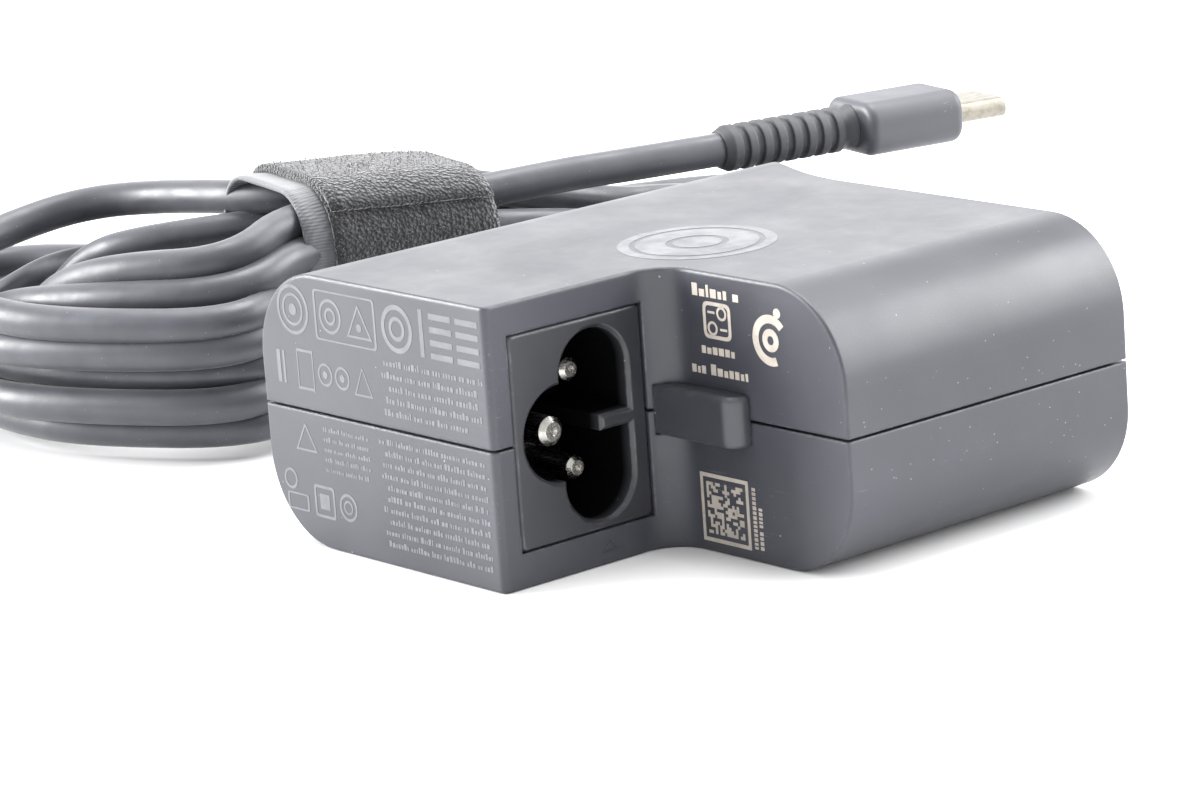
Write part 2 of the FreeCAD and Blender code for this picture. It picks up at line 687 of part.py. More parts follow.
def build_bundle():
    """The outer shape of the wound cord: an open oval of loops on one side of the strap, a slim
    closed end on the other, and the waist that the strap holds."""
    body = new_body("output_cord_coil")
    body.Placement = turned_frame(BUNDLE_X, BUNDLE_Y, 0, BUNDLE_TURN)
    half = BUNDLE_WIDE / 2
    strap_end = STRAP_LONG / 2 + 0.2
    lobe = new_sketch(body, "open_lobe", "XY_Plane")
    lean = math.radians(BUNDLE_TURN)
    middle = FreeCAD.Vector(-12.9, -25.9, 0)
    major = FreeCAD.Vector(math.cos(lean), math.sin(lean), 0)
    minor = FreeCAD.Vector(-major.y, major.x, 0)
    lobe.addGeometry(Part.Ellipse(middle + major * 36.0, middle + minor * 17.6, middle), False)
    pad(body, "open_loops", lobe, OPEN_TOP)
    trim = new_sketch(body, "strap_clearance", "XY_Plane")
    draw_outline(trim, rectangle(-60, -strap_end, 60, 20))
    pocket(body, "trimmed_at_strap", trim, 30, True)
    waist = new_sketch(body, "waist", "XY_Plane", BUNDLE_FLOOR)
    draw_outline(waist, rectangle(-half, -strap_end - 1, half, 16))
    pad(body, "strapped_waist", waist, BUNDLE_TOP - BUNDLE_FLOOR)
    end = new_sketch(body, "closed_end", "XY_Plane")
    end_radius = 14.0
    draw_outline(end, [(half, strap_end), (18.4, 47), (18.4 - end_radius, 47 + end_radius),
                       (-9.2, 50), (-9.2, strap_end)])
    pad(body, "closed_loops", end, CLOSED_TOP)
    entry = new_sketch(body, "lead_entry", "XZ_Plane", -13)
    draw_circle(entry, -11.8, 2.1, CORD / 2)
    pad(body, "first_strand", entry, 17, True)


def build_strap():
    """Hook-and-loop strap round the waist of the bundle."""
    body = new_body("cable_strap")
    body.Placement = turned_frame(BUNDLE_X, BUNDLE_Y, 0, BUNDLE_TURN)
    inner = BUNDLE_WIDE / 2 + STRAP_CLEAR
    inner_top = BUNDLE_TOP + STRAP_CLEAR
    outer = inner + STRAP_THICK
    ring = new_sketch(body, "ring", "XZ_Plane", -STRAP_LONG / 2)
    draw_outline(ring, rounded_rectangle(-outer, 0, outer, inner_top + STRAP_THICK, STRAP_CORNER))
    draw_outline(ring, rounded_rectangle(-inner, BUNDLE_FLOOR - STRAP_CLEAR, inner, inner_top, 0.3))
    pad(body, "band", ring, STRAP_LONG)


def build_plug():
    """The connector: ribbed relief, moulded grip, folded metal tip, tongue and contacts."""
    def part_body(label):
        piece = new_body(label)
        piece.Placement = turned_frame(PLUG_X, PLUG_Y, PLUG_Z, PLUG_TURN)
        return piece

    relief = part_body("usb_plug_strain_relief")
    profile = new_sketch(relief, "half_section", "XY_Plane")
    rings = 8
    step = (PLUG_RELIEF_LONG.number - 2.0) / rings
    corners = [(0, 0), (PLUG_RELIEF_RADIUS - 0.5, 0)]
    for i in range(rings):
        low = 1.0 + step * i
        corners += [(PLUG_RELIEF_RADIUS, low), (PLUG_RELIEF_RADIUS, low + step * 0.5),
                    (PLUG_RELIEF_RADIUS - 0.4, low + step * 0.6),
                    (PLUG_RELIEF_RADIUS - 0.4, low + step * 0.95)]
    corners += [(PLUG_RELIEF_RADIUS, PLUG_RELIEF_LONG), (0, PLUG_RELIEF_LONG)]
    draw_outline(profile, corners)
    doc.recompute()
    turned = relief.newObject("PartDesign::Revolution", "sleeve")
    turned.Profile = profile
    turned.ReferenceAxis = (profile, ["V_Axis"])
    turned.Angle = 360

    grip = part_body("usb_plug_overmold")
    section = new_sketch(grip, "section", "XZ_Plane", -PLUG_RELIEF_LONG)
    draw_outline(section, rounded_rectangle(
        -PLUG_WIDE / 2, -PLUG_THICK / 2, PLUG_WIDE / 2, PLUG_THICK / 2, 2.4))
    block = pad(grip, "block", section, PLUG_LONG, True)
    doc.recompute()
    ends = ["Edge" + str(i + 1) for i, edge in enumerate(grip.Shape.Edges)
            if edge.BoundBox.YLength < PLUG_THICK.number / 2]
    rounded = grip.newObject("PartDesign::Fillet", "soft_ends")
    rounded.Base = (block, ends)
    rounded.Radius = 1.0
    grip.Tip = rounded

    tip_start = PLUG_RELIEF_LONG + PLUG_LONG
    tip = part_body("usb_plug_shell")
    section = new_sketch(tip, "section", "XZ_Plane", -tip_start)
    round_end = TIP_THICK / 2 - 0.02
    draw_outline(section, rounded_rectangle(
        -TIP_WIDE / 2, -TIP_THICK / 2, TIP_WIDE / 2, TIP_THICK / 2, round_end))
    draw_outline(section, rounded_rectangle(
        -TIP_WIDE / 2 + TIP_SHEET, -TIP_THICK / 2 + TIP_SHEET,
        TIP_WIDE / 2 - TIP_SHEET, TIP_THICK / 2 - TIP_SHEET, round_end - TIP_SHEET))
    pad(tip, "tube", section, TIP_LONG, True)

    # a plug's contacts stand on two rows facing inwards, carried by a block at the back of the tip
    carrier = part_body("usb_plug_contact_block")
    section = new_sketch(carrier, "section", "XZ_Plane", -tip_start)
    draw_outline(section, rectangle(-TIP_WIDE / 2 + 1.1, -TIP_THICK / 2 + TIP_SHEET,
                                    TIP_WIDE / 2 - 1.1, TIP_THICK / 2 - TIP_SHEET))
    pad(carrier, "block", section, 1.6, True)

    contacts = part_body("usb_plug_contacts")
    section = new_sketch(contacts, "section", "XZ_Plane", -(tip_start + 1.6))
    pitch = 0.5
    count = 12
    for level in (-1, 1):
        for i in range(count):
            middle = (i - (count - 1) / 2) * pitch
            low = 0.55 if level > 0 else -0.8
            draw_outline(section, rectangle(middle - 0.12, low, middle + 0.12, low + 0.25))
    pad(contacts, "rows", section, 4.2, True)


def build_cord():
    build_strain_relief()
    tube("output_cord_lead", LEAD_ROUTE, CORD)
    build_bundle()
    build_strap()
    tube("output_cord_tail", TAIL_ROUTE, CORD)
    build_plug()


# ---------------------------------------------------------------- the circuit inside

BOARD_Z = cell("board_underside", 7.0)
BOARD_THICK = cell("board_thickness", 1.6)
BOARD_HALF = cell("board_half_width", 28.2)
BOARD_BACK = cell("board_back_y", 24.9)
BOARD_STEP = cell("board_step_y", -8.4)
BOARD_ARM = cell("board_arm_x", -12.0)
BOARD_FRONT = cell("board_front_y", -30.8)
BULK_RADIUS = cell("bulk_capacitor_radius", 5.0)
BULK_TALL = cell("bulk_capacitor_height", 15.0)
OUTPUT_RADIUS = cell("output_capacitor_radius", 4.0)
OUTPUT_TALL = cell("output_capacitor_height", 12.0)
CORE_X = cell("transformer_x", 4.0)
CORE_Y = cell("transformer_y", 13.0)
CORE_LONG = cell("transformer_core_length", 20.0)
CORE_WIDE = cell("transformer_core_width", 14.0)
CORE_LEG = cell("transformer_leg_thickness", 2.4)
CORE_YOKE = cell("transformer_yoke_thickness", 2.6)
CORE_HALF = cell("transformer_half_height", 7.2)
CORE_ROD = cell("transformer_rod_radius", 4.2)
WIRE = cell("hook_up_wire_diameter", 1.2)
BOARD_TOP = BOARD_Z + BOARD_THICK
CORE_FOOT = BOARD_TOP + 0.6
doc.recompute()


def board_outline(inset):
    """The L that fills the case behind the inlet."""
    d = as_size(inset)
    return [(BOARD_ARM - d, BOARD_FRONT + d), (BOARD_ARM - d, BOARD_STEP + d),
            (BOARD_HALF - d, BOARD_STEP + d), (BOARD_HALF - d, BOARD_BACK - d),
            (-BOARD_HALF + d, BOARD_BACK - d), (-BOARD_HALF + d, BOARD_FRONT + d)]


def sheet_body(label, outline, z, thick):
    body = new_body(label)
    drawn = new_sketch(body, "outline", "XY_Plane", z)
    draw_outline(drawn, outline)
    pad(body, "sheet", drawn, thick)


def build_boards_and_sheets():
    sheet_body("main_circuit_board", board_outline(0), BOARD_Z, BOARD_THICK)
    sheet_body("insulation_sheet", board_outline(2.4), as_size(4.4), 0.4)
    plate = rectangle(-20, -6.5, 20, 23.5)
    sheet_body("heat_spreader_lower", plate, as_size(2.5), 0.6)
    sheet_body("heat_spreader_upper", plate, as_size(25.6), 0.6)
    sheet_body("thermal_pad", rectangle(-3, 7, 11, 19), CORE_FOOT + CORE_HALF * 2, 1.6)


def disc_part(label, x, y, z, radius, thick):
    """A leaded disc standing on edge across the board."""
    keep(cylinder(label, x, y, z, radius, thick, ALONG_Y), label)


def block_part(label, x, y, z, long, wide, tall):
    keep(box(label, x, y, z, long, wide, tall), label)


def can_part(label, x, y, radius, tall):
    """A round can capacitor with the rolled groove near its foot."""
    can = cylinder(label + "_can", x, y, BOARD_TOP, radius, tall)
    groove = doc.addObject("Part::Torus", label + "_groove")
    bind(groove, "Radius1", as_size(radius) + 0.25)
    bind(groove, "Radius2", 0.6)
    place(groove, x, y, BOARD_TOP + 2.2)
    keep(cut(label, can, groove), label)


def build_input_side():
    """What the mains meets in turn: fuse, surge parts, filter, rectifier and storage."""
    block_part("input_fuse", -28.0, -30.2, BOARD_TOP, 7.0, 4.2, 8.0)
    disc_part("surge_varistor", -16.6, -30.4, BOARD_TOP + 4.9, 4.1, 3.8)
    disc_part("inrush_thermistor", -23.4, -24.9, BOARD_TOP + 5.2, 4.4, 4.2)
    block_part("x_capacitor", -27.6, -19.4, BOARD_TOP, 14.8, 5.9, 12.0)
    choke_x, choke_y, choke_z = -19.4, -4.9, BOARD_TOP + 3.4
    core = doc.addObject("Part::Torus", "choke_ring")
    bind(core, "Radius1", 5.0)
    bind(core, "Radius2", 2.3)
    place(core, choke_x, choke_y, choke_z)
    keep(core, "choke_core")
    halves = []
    for name, start in (("choke_winding_a", -60), ("choke_winding_b", 120)):
        winding = doc.addObject("Part::Torus", name)
        winding.Placement = FreeCAD.Placement(
            FreeCAD.Vector(), FreeCAD.Rotation(FreeCAD.Vector(0, 0, 1), start))
        bind(winding, "Radius1", 5.0)
        bind(winding, "Radius2", 3.1)
        winding.Angle3 = 120
        place(winding, choke_x, choke_y, choke_z)
        halves.append(winding)
    bore = doc.addObject("Part::Torus", "choke_bore")
    bind(bore, "Radius1", 5.0)
    bind(bore, "Radius2", 2.35)
    place(bore, choke_x, choke_y, choke_z)
    keep(cut("choke_windings", fused("choke_winding_pair", halves), bore), "choke_windings")
    block_part("bridge_rectifier", -9.0, -7.8, BOARD_TOP, 12.0, 4.2, 10.0)
    for name, y in (("bulk_capacitor_front", 8.2), ("bulk_capacitor_back", 18.4)):
        can_part(name, -22.3, y, BULK_RADIUS, BULK_TALL)


def build_converter():
    """The switching stage: switch on its heat sink, transformer, rectifier and output parts."""
    block_part("primary_heat_sink", -10.9, -1.9, BOARD_TOP, 22.0, 1.4, 13.0)
    block_part("primary_switch", -10.4, -0.5, BOARD_TOP + 0.6, 9.8, 3.4, 11.0)
    block_part("primary_controller_chip", 0.0, -6.0, BOARD_Z - 1.4, 5.0, 4.0, 1.4)
    disc_part("y_capacitor", 11.0, -7.7, BOARD_TOP + 4.6, 3.9, 3.4)
    block_part("optocoupler", 16.4, -5.4, BOARD_TOP, 6.5, 4.6, 3.4)
    block_part("synchronous_rectifier", 17.2, 1.4, BOARD_TOP, 5.0, 6.0, 1.6)
    for name, y in (("output_capacitor_front", 12.2), ("output_capacitor_back", 20.7)):
        can_part(name, 20.2, y, OUTPUT_RADIUS, OUTPUT_TALL)
    block_part("output_control_board", 26.0, -5.8, BOARD_TOP, 1.2, 18.0, 11.4)
    block_part("output_control_chip", 25.0, 0.6, BOARD_TOP + 3.4, 1.0, 5.0, 5.0)


def core_half(label, foot, yoke_foot, leg_foot):
    """Half a ferrite core: a yoke, two flat outer legs and half of the round centre rod."""
    leg_tall = CORE_HALF - CORE_YOKE
    low_x = CORE_X - CORE_LONG / 2
    low_y = CORE_Y - CORE_WIDE / 2
    yoke = box(label + "_yoke", low_x, low_y, yoke_foot, CORE_LONG, CORE_WIDE, CORE_YOKE)
    legs = [box(label + "_leg_" + str(i), x, low_y, leg_foot, CORE_LEG, CORE_WIDE, leg_tall)
            for i, x in enumerate((low_x, CORE_X + CORE_LONG / 2 - CORE_LEG))]
    rod = cylinder(label + "_rod", CORE_X, CORE_Y, leg_foot, CORE_ROD, leg_tall)
    keep(fused(label, [yoke, rod] + legs), label)


def build_transformer():
    middle = CORE_FOOT + CORE_HALF
    core_half("transformer_core_lower", CORE_FOOT, CORE_FOOT, CORE_FOOT + CORE_YOKE)
    core_half("transformer_core_upper", middle, middle + CORE_HALF - CORE_YOKE, middle)
    room = (CORE_HALF - CORE_YOKE) * 2 - 0.2
    foot = CORE_FOOT + CORE_YOKE + 0.1
    sleeve = cylinder("bobbin_sleeve", CORE_X, CORE_Y, foot, CORE_ROD + 0.8, room)
    cheeks = [cylinder("bobbin_cheek_" + str(i), CORE_X, CORE_Y, z, 6.9, 0.8)
              for i, z in enumerate((foot, foot + room - 0.8))]
    spool = fused("bobbin_spool", [sleeve] + cheeks)
    bore = cylinder("bobbin_bore", CORE_X, CORE_Y, foot - 1, CORE_ROD + 0.05, room + 2)
    keep(cut("transformer_bobbin", spool, bore), "transformer_bobbin")
    coil = cylinder("winding_outside", CORE_X, CORE_Y, foot + 0.85, 6.7, room - 1.7)
    hole = cylinder("winding_inside", CORE_X, CORE_Y, foot, CORE_ROD + 0.85, room)
    keep(cut("transformer_winding", coil, hole), "transformer_winding")


def build_wires():
    """Hook-up wires from the inlet pins and to the output cord."""
    tail = (INLET_FACE - INLET_DEEP - PIN_TAIL).number
    high = (MIDDLE + PIN_PITCH / 2).number
    low = (MIDDLE - PIN_PITCH / 2).number
    mid = MIDDLE.number
    pin_y = LINE_Y.number
    earth_y = EARTH_Y.number
    top = BOARD_TOP.number
    foot = (BACK + NOSE_ROOM_END - RELIEF_FLANGE_THICK).number
    tube("line_wire", ((tail, pin_y, high), (tail - 2.3, pin_y, high), (-15.8, -20.9, 16.4),
                       (-16.0, -21.5, 12.2), (-16.0, -21.5, top)), WIRE)
    tube("neutral_wire", ((tail, pin_y, low), (tail - 1.5, pin_y, low), (-14.9, -21.6, low + 1.2),
                          (-14.9, -23.1, low + 1.0), (-14.9, -23.1, top)), WIRE)
    tube("earth_wire", ((tail, earth_y, mid), (tail - 2.2, earth_y, mid), (-15.7, -25.1, 12.2),
                        (-15.7, -25.1, top)), WIRE)
    tube("output_positive_wire", ((-23.2, foot, 15.4), (-23.2, 24.5, 15.4), (-18.2, 24.4, 15.2),
                                  (-14.2, 24.1, 12.8), (-14.2, 24.1, top)), WIRE)
    tube("output_return_wire", ((-23.2, foot, 12.8), (-23.2, 24.5, 12.8), (-19.2, 24.5, 12.2),
                                (-16.4, 24.1, 10.6), (-16.4, 24.1, top)), WIRE)


# ---------------------------------------------------------------- make, check and write

def check_and_write():
    """Stop on anything that failed to rebuild, then write one file per sub-part."""
    doc.recompute()
    for obj in doc.Objects:
        if "Invalid" in obj.State or "Error" in obj.State:
            raise ValueError(obj.Label + " did not rebuild")
    os.makedirs("parts", exist_ok=True)
    for part in sub_parts:
        if part.Shape.isNull() or not part.Shape.isValid():
            raise ValueError(part.Label + " has no valid shape")
        part.Shape.exportStep(os.path.join("parts", part.Label + ".step"))
        print(part.Label, "volume", round(part.Shape.Volume, 1), "solids", len(part.Shape.Solids))


build_case()
build_inlet()
build_pins()
build_rail()
build_cord()
build_boards_and_sheets()
build_input_side()
build_converter()
build_transformer()
build_wires()
check_and_write()
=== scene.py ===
import logging
import math
import random
from dataclasses import dataclass, field
from enum import Enum
from typing import ClassVar, Dict, Iterable, List, Sequence, Tuple

import bmesh
import bpy
from mathutils import Matrix, Vector


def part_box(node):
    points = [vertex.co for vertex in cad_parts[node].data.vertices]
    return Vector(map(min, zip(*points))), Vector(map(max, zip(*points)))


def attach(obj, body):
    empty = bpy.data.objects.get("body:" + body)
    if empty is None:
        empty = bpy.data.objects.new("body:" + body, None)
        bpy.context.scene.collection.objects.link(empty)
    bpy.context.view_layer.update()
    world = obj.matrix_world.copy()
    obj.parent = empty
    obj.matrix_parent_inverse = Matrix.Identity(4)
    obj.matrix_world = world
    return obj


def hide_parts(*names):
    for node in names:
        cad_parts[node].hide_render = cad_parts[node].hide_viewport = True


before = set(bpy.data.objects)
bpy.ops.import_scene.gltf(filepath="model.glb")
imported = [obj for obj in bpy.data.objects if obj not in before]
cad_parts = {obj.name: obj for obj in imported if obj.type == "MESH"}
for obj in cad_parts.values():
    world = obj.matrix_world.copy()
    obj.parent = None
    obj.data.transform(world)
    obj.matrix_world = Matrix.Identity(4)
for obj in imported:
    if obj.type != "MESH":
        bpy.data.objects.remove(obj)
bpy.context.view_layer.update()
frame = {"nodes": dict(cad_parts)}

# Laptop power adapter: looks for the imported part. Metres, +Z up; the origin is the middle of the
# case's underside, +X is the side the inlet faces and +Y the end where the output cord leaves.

MM = 0.001
# how far the latch rail stands off the notch's wall, in metres
RAIL_PROUD = 0.0022
LOG = logging.getLogger("power_adapter")

Point = Tuple[float, float, float]
Flat = Tuple[float, float]
Colour = Tuple[float, float, float]
Hold = Tuple[float, float, float]
Ring = List[bmesh.types.BMVert]


class Axis(Enum):
    """A direction that a grain or a winding runs along."""

    X = 0
    Y = 1
    Z = 2


def millimetres(points: Iterable[Point]) -> List[Vector]:
    """Turn points given in millimetres into vectors in metres."""
    return [Vector(p) * MM for p in points]


def put_in_scene(obj: bpy.types.Object) -> bpy.types.Object:
    """Link an object to the scene's own collection."""
    bpy.context.scene.collection.objects.link(obj)
    return obj


def mesh_piece(name: str, work: bmesh.types.BMesh, smooth: bool = False) -> bpy.types.Object:
    """Close a working mesh into a named piece that rides on the adapter.

    Args:
        name: the piece's name.
        work: the mesh to take; it is freed.
        smooth: whether its faces are shaded smooth.

    Returns:
        The new object, in the scene and riding on the root body.
    """
    bmesh.ops.recalc_face_normals(work, faces=work.faces)
    mesh = bpy.data.meshes.new(name)
    work.to_mesh(mesh)
    work.free()
    for face in mesh.polygons:
        face.use_smooth = smooth
    piece = put_in_scene(bpy.data.objects.new(name, mesh))
    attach(piece, "root")
    return piece


# ------------------------------------------------------------------------------ finishes

class Shader:
    """A material's node tree, with short calls for the nodes that the finishes share."""

    def __init__(self, name: str) -> None:
        """Start an empty surface.

        Args:
            name: the material's name.
        """
        self.material = bpy.data.materials.new(name)
        self.material.use_nodes = True
        self.tree = self.material.node_tree
        self.surface = self.tree.nodes["Principled BSDF"]
        self.where = self.tree.nodes.new("ShaderNodeTexCoord").outputs["Object"]

    def link(self, source, target) -> None:
        """Join an output to an input, or set the input where the source is a plain value."""
        if isinstance(source, bpy.types.NodeSocket):
            self.tree.links.new(source, target)
        else:
            target.default_value = source

    def node(self, kind: str, **settings) -> bpy.types.Node:
        """Add a node with the given settings."""
        made = self.tree.nodes.new(kind)
        for key, value in settings.items():
            setattr(made, key, value)
        return made

    def stretched(self, scale: Point):
        """The surface position, scaled by a different amount along each axis."""
        mapping = self.node("ShaderNodeMapping")
        self.link(self.where, mapping.inputs["Vector"])
        mapping.inputs["Scale"].default_value = scale
        return mapping.outputs["Vector"]

    def noise(self, per_metre: float, detail: float = 2.0, rough: float = 0.5, where=None):
        """Cloudy variation.

        Args:
            per_metre: how many cells fit in a metre.
            detail: how many finer layers are added.
            rough: how strong those layers are.
            where: another position socket, where the grain is stretched.

        Returns:
            A socket from 0 to 1.
        """
        made = self.node("ShaderNodeTexNoise")
        self.link(where or self.where, made.inputs["Vector"])
        made.inputs["Scale"].default_value = per_metre
        made.inputs["Detail"].default_value = detail
        made.inputs["Roughness"].default_value = rough
        return made.outputs["Fac"]

    def cells(self, per_metre: float, where=None) -> Tuple:
        """Scattered points: the distance to the nearest one, and a random colour for each."""
        made = self.node("ShaderNodeTexVoronoi")
        self.link(where or self.where, made.inputs["Vector"])
        made.inputs["Scale"].default_value = per_metre
        return made.outputs["Distance"], made.outputs["Color"]

    def waves(self, per_metre: float, axis: Axis, wobble: float = 0.0):
        """Regular bands across one axis."""
        made = self.node("ShaderNodeTexWave", bands_direction=axis.name)
        self.link(self.where, made.inputs["Vector"])
        made.inputs["Scale"].default_value = per_metre
        made.inputs["Distortion"].default_value = wobble
        return made.outputs["Fac"]

    def spread(self, value, low: float, high: float, out_low: float = 0.0, out_high: float = 1.0):
        """Map a range of a value onto another range, clamped."""
        made = self.node("ShaderNodeMapRange", clamp=True)
        self.link(value, made.inputs["Value"])
        for key, number in (("From Min", low), ("From Max", high),
                            ("To Min", out_low), ("To Max", out_high)):
            made.inputs[key].default_value = number
        return made.outputs["Result"]

    def sum(self, kind: str, first, second):
        """Arithmetic on two values, such as ADD, MULTIPLY or MAXIMUM."""
        made = self.node("ShaderNodeMath", operation=kind, use_clamp=True)
        self.link(first, made.inputs[0])
        self.link(second, made.inputs[1])
        return made.outputs["Value"]

    def mix(self, share, first, second):
        """Blend two colours by a share from 0 to 1."""
        made = self.node("ShaderNodeMix", data_type="RGBA")
        self.link(share, made.inputs[0])
        for source, target in ((first, made.inputs[6]), (second, made.inputs[7])):
            self.link((*source, 1.0) if isinstance(source, tuple) else source, target)
        return made.outputs[2]

    def soft_edge(self, radius: float):
        """The surface direction with its sharp edges rounded."""
        made = self.node("ShaderNodeBevel", samples=4)
        made.inputs["Radius"].default_value = radius
        return made.outputs["Normal"]

    def edge_mask(self, radius: float):
        """1 on an outside or inside edge, 0 on the flat."""
        rounded = self.soft_edge(radius)
        geometry = self.node("ShaderNodeNewGeometry")
        dot = self.node("ShaderNodeVectorMath", operation="DOT_PRODUCT")
        self.link(rounded, dot.inputs[0])
        self.link(geometry.outputs["Normal"], dot.inputs[1])
        return self.spread(dot.outputs["Value"], 0.995, 0.90)

    def bump(self, height, depth: float, strength: float = 1.0, over=None):
        """Raise the surface by a height value.

        Args:
            height: the value that gives the relief.
            depth: the relief's full depth in metres.
            strength: how much of it shows.
            over: the surface direction that it is added to.

        Returns:
            A normal socket.
        """
        made = self.node("ShaderNodeBump")
        made.inputs["Strength"].default_value = strength
        made.inputs["Distance"].default_value = depth
        self.link(height, made.inputs["Height"])
        if over is not None:
            self.link(over, made.inputs["Normal"])
        return made.outputs["Normal"]

    def finish(self, **sockets) -> bpy.types.Material:
        """Set or link the surface's sockets, given by name with spaces as underscores.

        Args:
            sockets: value or socket for each input.

        Returns:
            The finished material.
        """
        for key, value in sockets.items():
            target = self.surface.inputs[key.replace("_", " ")]
            if isinstance(value, tuple) and len(value) == 3:
                value = (*value, 1.0)
            self.link(value, target)
        return self.material


@dataclass(frozen=True)
class Finish:
    """A named finish; each kind below says how its material is built."""

    name: str
    tone: Colour
    rough: float = 0.5
    made: ClassVar[Dict[str, bpy.types.Material]] = {}

    def build(self) -> bpy.types.Material:
        """Build the material."""
        raise NotImplementedError

    def material(self) -> bpy.types.Material:
        """The material, built once and then shared."""
        if self.name not in Finish.made:
            Finish.made[self.name] = self.build()
        return Finish.made[self.name]

    def dress(self, obj: bpy.types.Object) -> None:
        """Give every material slot of an object this finish."""
        if not obj.material_slots:
            obj.data.materials.append(self.material())
        for held in obj.material_slots:
            held.link = "OBJECT"
            held.material = self.material()

    def shade(self, share: float) -> Colour:
        """The tone made lighter (above 1) or darker (below 1)."""
        return tuple(min(1.0, c * share) for c in self.tone)


@dataclass(frozen=True)
class Moulding(Finish):
    """Moulded plastic: fine grain, faint cloudiness, worn edges, dust and hairline scratches."""

    grain: float = 5200.0
    relief: float = 0.00002
    edge: float = 0.00035
    wear: float = 0.5
    dust: float = 0.6
    scratches: float = 0.5
    level: float = 0.5

    def build(self) -> bpy.types.Material:
        """Build the moulded surface."""
        s = Shader(self.name)
        cloud = s.noise(38.0, 4.0, 0.6)
        colour = s.mix(s.spread(cloud, 0.35, 0.65), self.shade(0.88), self.shade(1.14))
        # rubbed edges: lighter where the corner is, broken up by noise
        patch = s.spread(s.noise(420.0, 3.0, 0.7), 0.48, 0.62)
        rubbed = s.sum("MULTIPLY", s.edge_mask(self.edge), s.sum("MULTIPLY", patch, self.wear))
        colour = s.mix(rubbed, colour, self.shade(4.5))
        # hairlines, long one way and a fraction of a millimetre the other
        for stretch in ((120.0, 5200.0, 5200.0), (5600.0, 260.0, 2600.0)):
            line = s.noise(1.0, 1.0, 0.4, s.stretched(stretch))
            rare = s.spread(s.noise(75.0, 2.0), 0.60, 0.66)
            share = s.sum("MULTIPLY", s.spread(line, 0.715, 0.75), rare)
            colour = s.mix(s.sum("MULTIPLY", share, self.scratches), colour, self.shade(4.0))
        # dust: pale specks of two sizes, each present only in some cells
        for per_metre, radius, chosen in ((430.0, 0.05, 0.80), (1150.0, 0.085, 0.86)):
            distance, random_colour = s.cells(per_metre)
            speck = s.spread(distance, radius, radius * 0.6)
            split = s.node("ShaderNodeSeparateColor")
            s.link(random_colour, split.inputs[0])
            present = s.spread(split.outputs[0], chosen, chosen + 0.01)
            share = s.sum("MULTIPLY", s.sum("MULTIPLY", speck, present), self.dust)
            colour = s.mix(share, colour, (0.55, 0.55, 0.56))
        # painted shade: a kind of moulding may paint its hollow dark, near black in colour and with a
        # dimmed reflection
        level = self.level
        lit = self.painted_light_share(s)
        if lit is not None:
            colour = s.mix(lit, self.shade(0.12), colour)
            level = s.spread(lit, 0.0, 1.0, 0.06, self.level)
        grain = s.noise(self.grain, 2.0, 0.6)
        smears = s.noise(70.0, 4.0, 0.65)
        rough = s.spread(smears, 0.3, 0.7, self.rough - 0.07, self.rough + 0.07)
        normal = s.bump(grain, self.relief, 0.55, s.soft_edge(self.edge))
        return s.finish(Base_Color=colour, Roughness=rough, Normal=normal,
                        Specular_IOR_Level=level)

    def painted_light_share(self, s: Shader):
        """How much of the surface is kept out of the painted shade, 0 to 1: at 0 its colour is painted
        near black as if in deep shade; None where none is painted.

        Args:
            s: the material being built.

        Returns:
            A socket, or None.
        """
        return None


@dataclass(frozen=True)
class SocketMoulding(Moulding):
    """The inlet's moulding: dull, with shade painted near black into its cavity.

    lit_from is how far out the light reaches undimmed, in metres along X, just inside the mouth; inwards
    from it, shade is painted into the colour.
    """

    lit_from: float = 0.0
    fading: float = 0.0012

    def painted_light_share(self, s: Shader):
        """Painted shade: fall from 1 at the mouth to 0 a little way into the cavity, where the colour is
        painted near black.
        """
        place = s.node("ShaderNodeSeparateXYZ")
        s.link(s.where, place.inputs[0])
        return s.spread(place.outputs["X"], self.lit_from - self.fading, self.lit_from)


@dataclass(frozen=True)
class Plating(Finish):
    """Bright plated metal with fine turning marks and a little tarnish."""

    along: Axis = Axis.X
    spacing: float = 9000.0

    def build(self) -> bpy.types.Material:
        """Build the metal surface."""
        s = Shader(self.name)
        lines = [self.spacing, self.spacing, self.spacing]
        lines[self.along.value] = self.spacing / 40
        marks = s.noise(1.0, 2.0, 0.6, s.stretched(tuple(lines)))
        stain = s.spread(s.noise(900.0, 4.0, 0.7), 0.45, 0.75)
        colour = s.mix(stain, self.tone, self.shade(0.62))
        rough = s.spread(marks, 0.3, 0.7, self.rough - 0.08, self.rough + 0.12)
        normal = s.bump(marks, 0.000008, 0.5, s.soft_edge(0.00012))
        return s.finish(Base_Color=colour, Metallic=1.0, Roughness=rough, Normal=normal)


@dataclass(frozen=True)
class CordJacket(Finish):
    """Soft extruded jacket: satin, slightly uneven, with dusty patches and faint draw lines."""

    def build(self) -> bpy.types.Material:
        """Build the jacket."""
        s = Shader(self.name)
        blotch = s.spread(s.noise(160.0, 4.0, 0.65), 0.35, 0.7)
        colour = s.mix(blotch, self.shade(0.85), self.shade(1.25))
        distance, _ = s.cells(900.0)
        lint = s.spread(distance, 0.07, 0.03)
        colour = s.mix(s.sum("MULTIPLY", lint, 0.35), colour, (0.4, 0.4, 0.42))
        rough = s.spread(s.noise(260.0, 3.0), 0.3, 0.7, self.rough - 0.08, self.rough + 0.1)
        skin = s.noise(3600.0, 3.0, 0.6)
        wavy = s.noise(240.0, 2.0, 0.5)
        normal = s.bump(skin, 0.000018, 0.5, s.bump(wavy, 0.00025, 0.35))
        return s.finish(Base_Color=colour, Roughness=rough, Normal=normal,
                        Sheen_Weight=0.12, Sheen_Roughness=0.5)


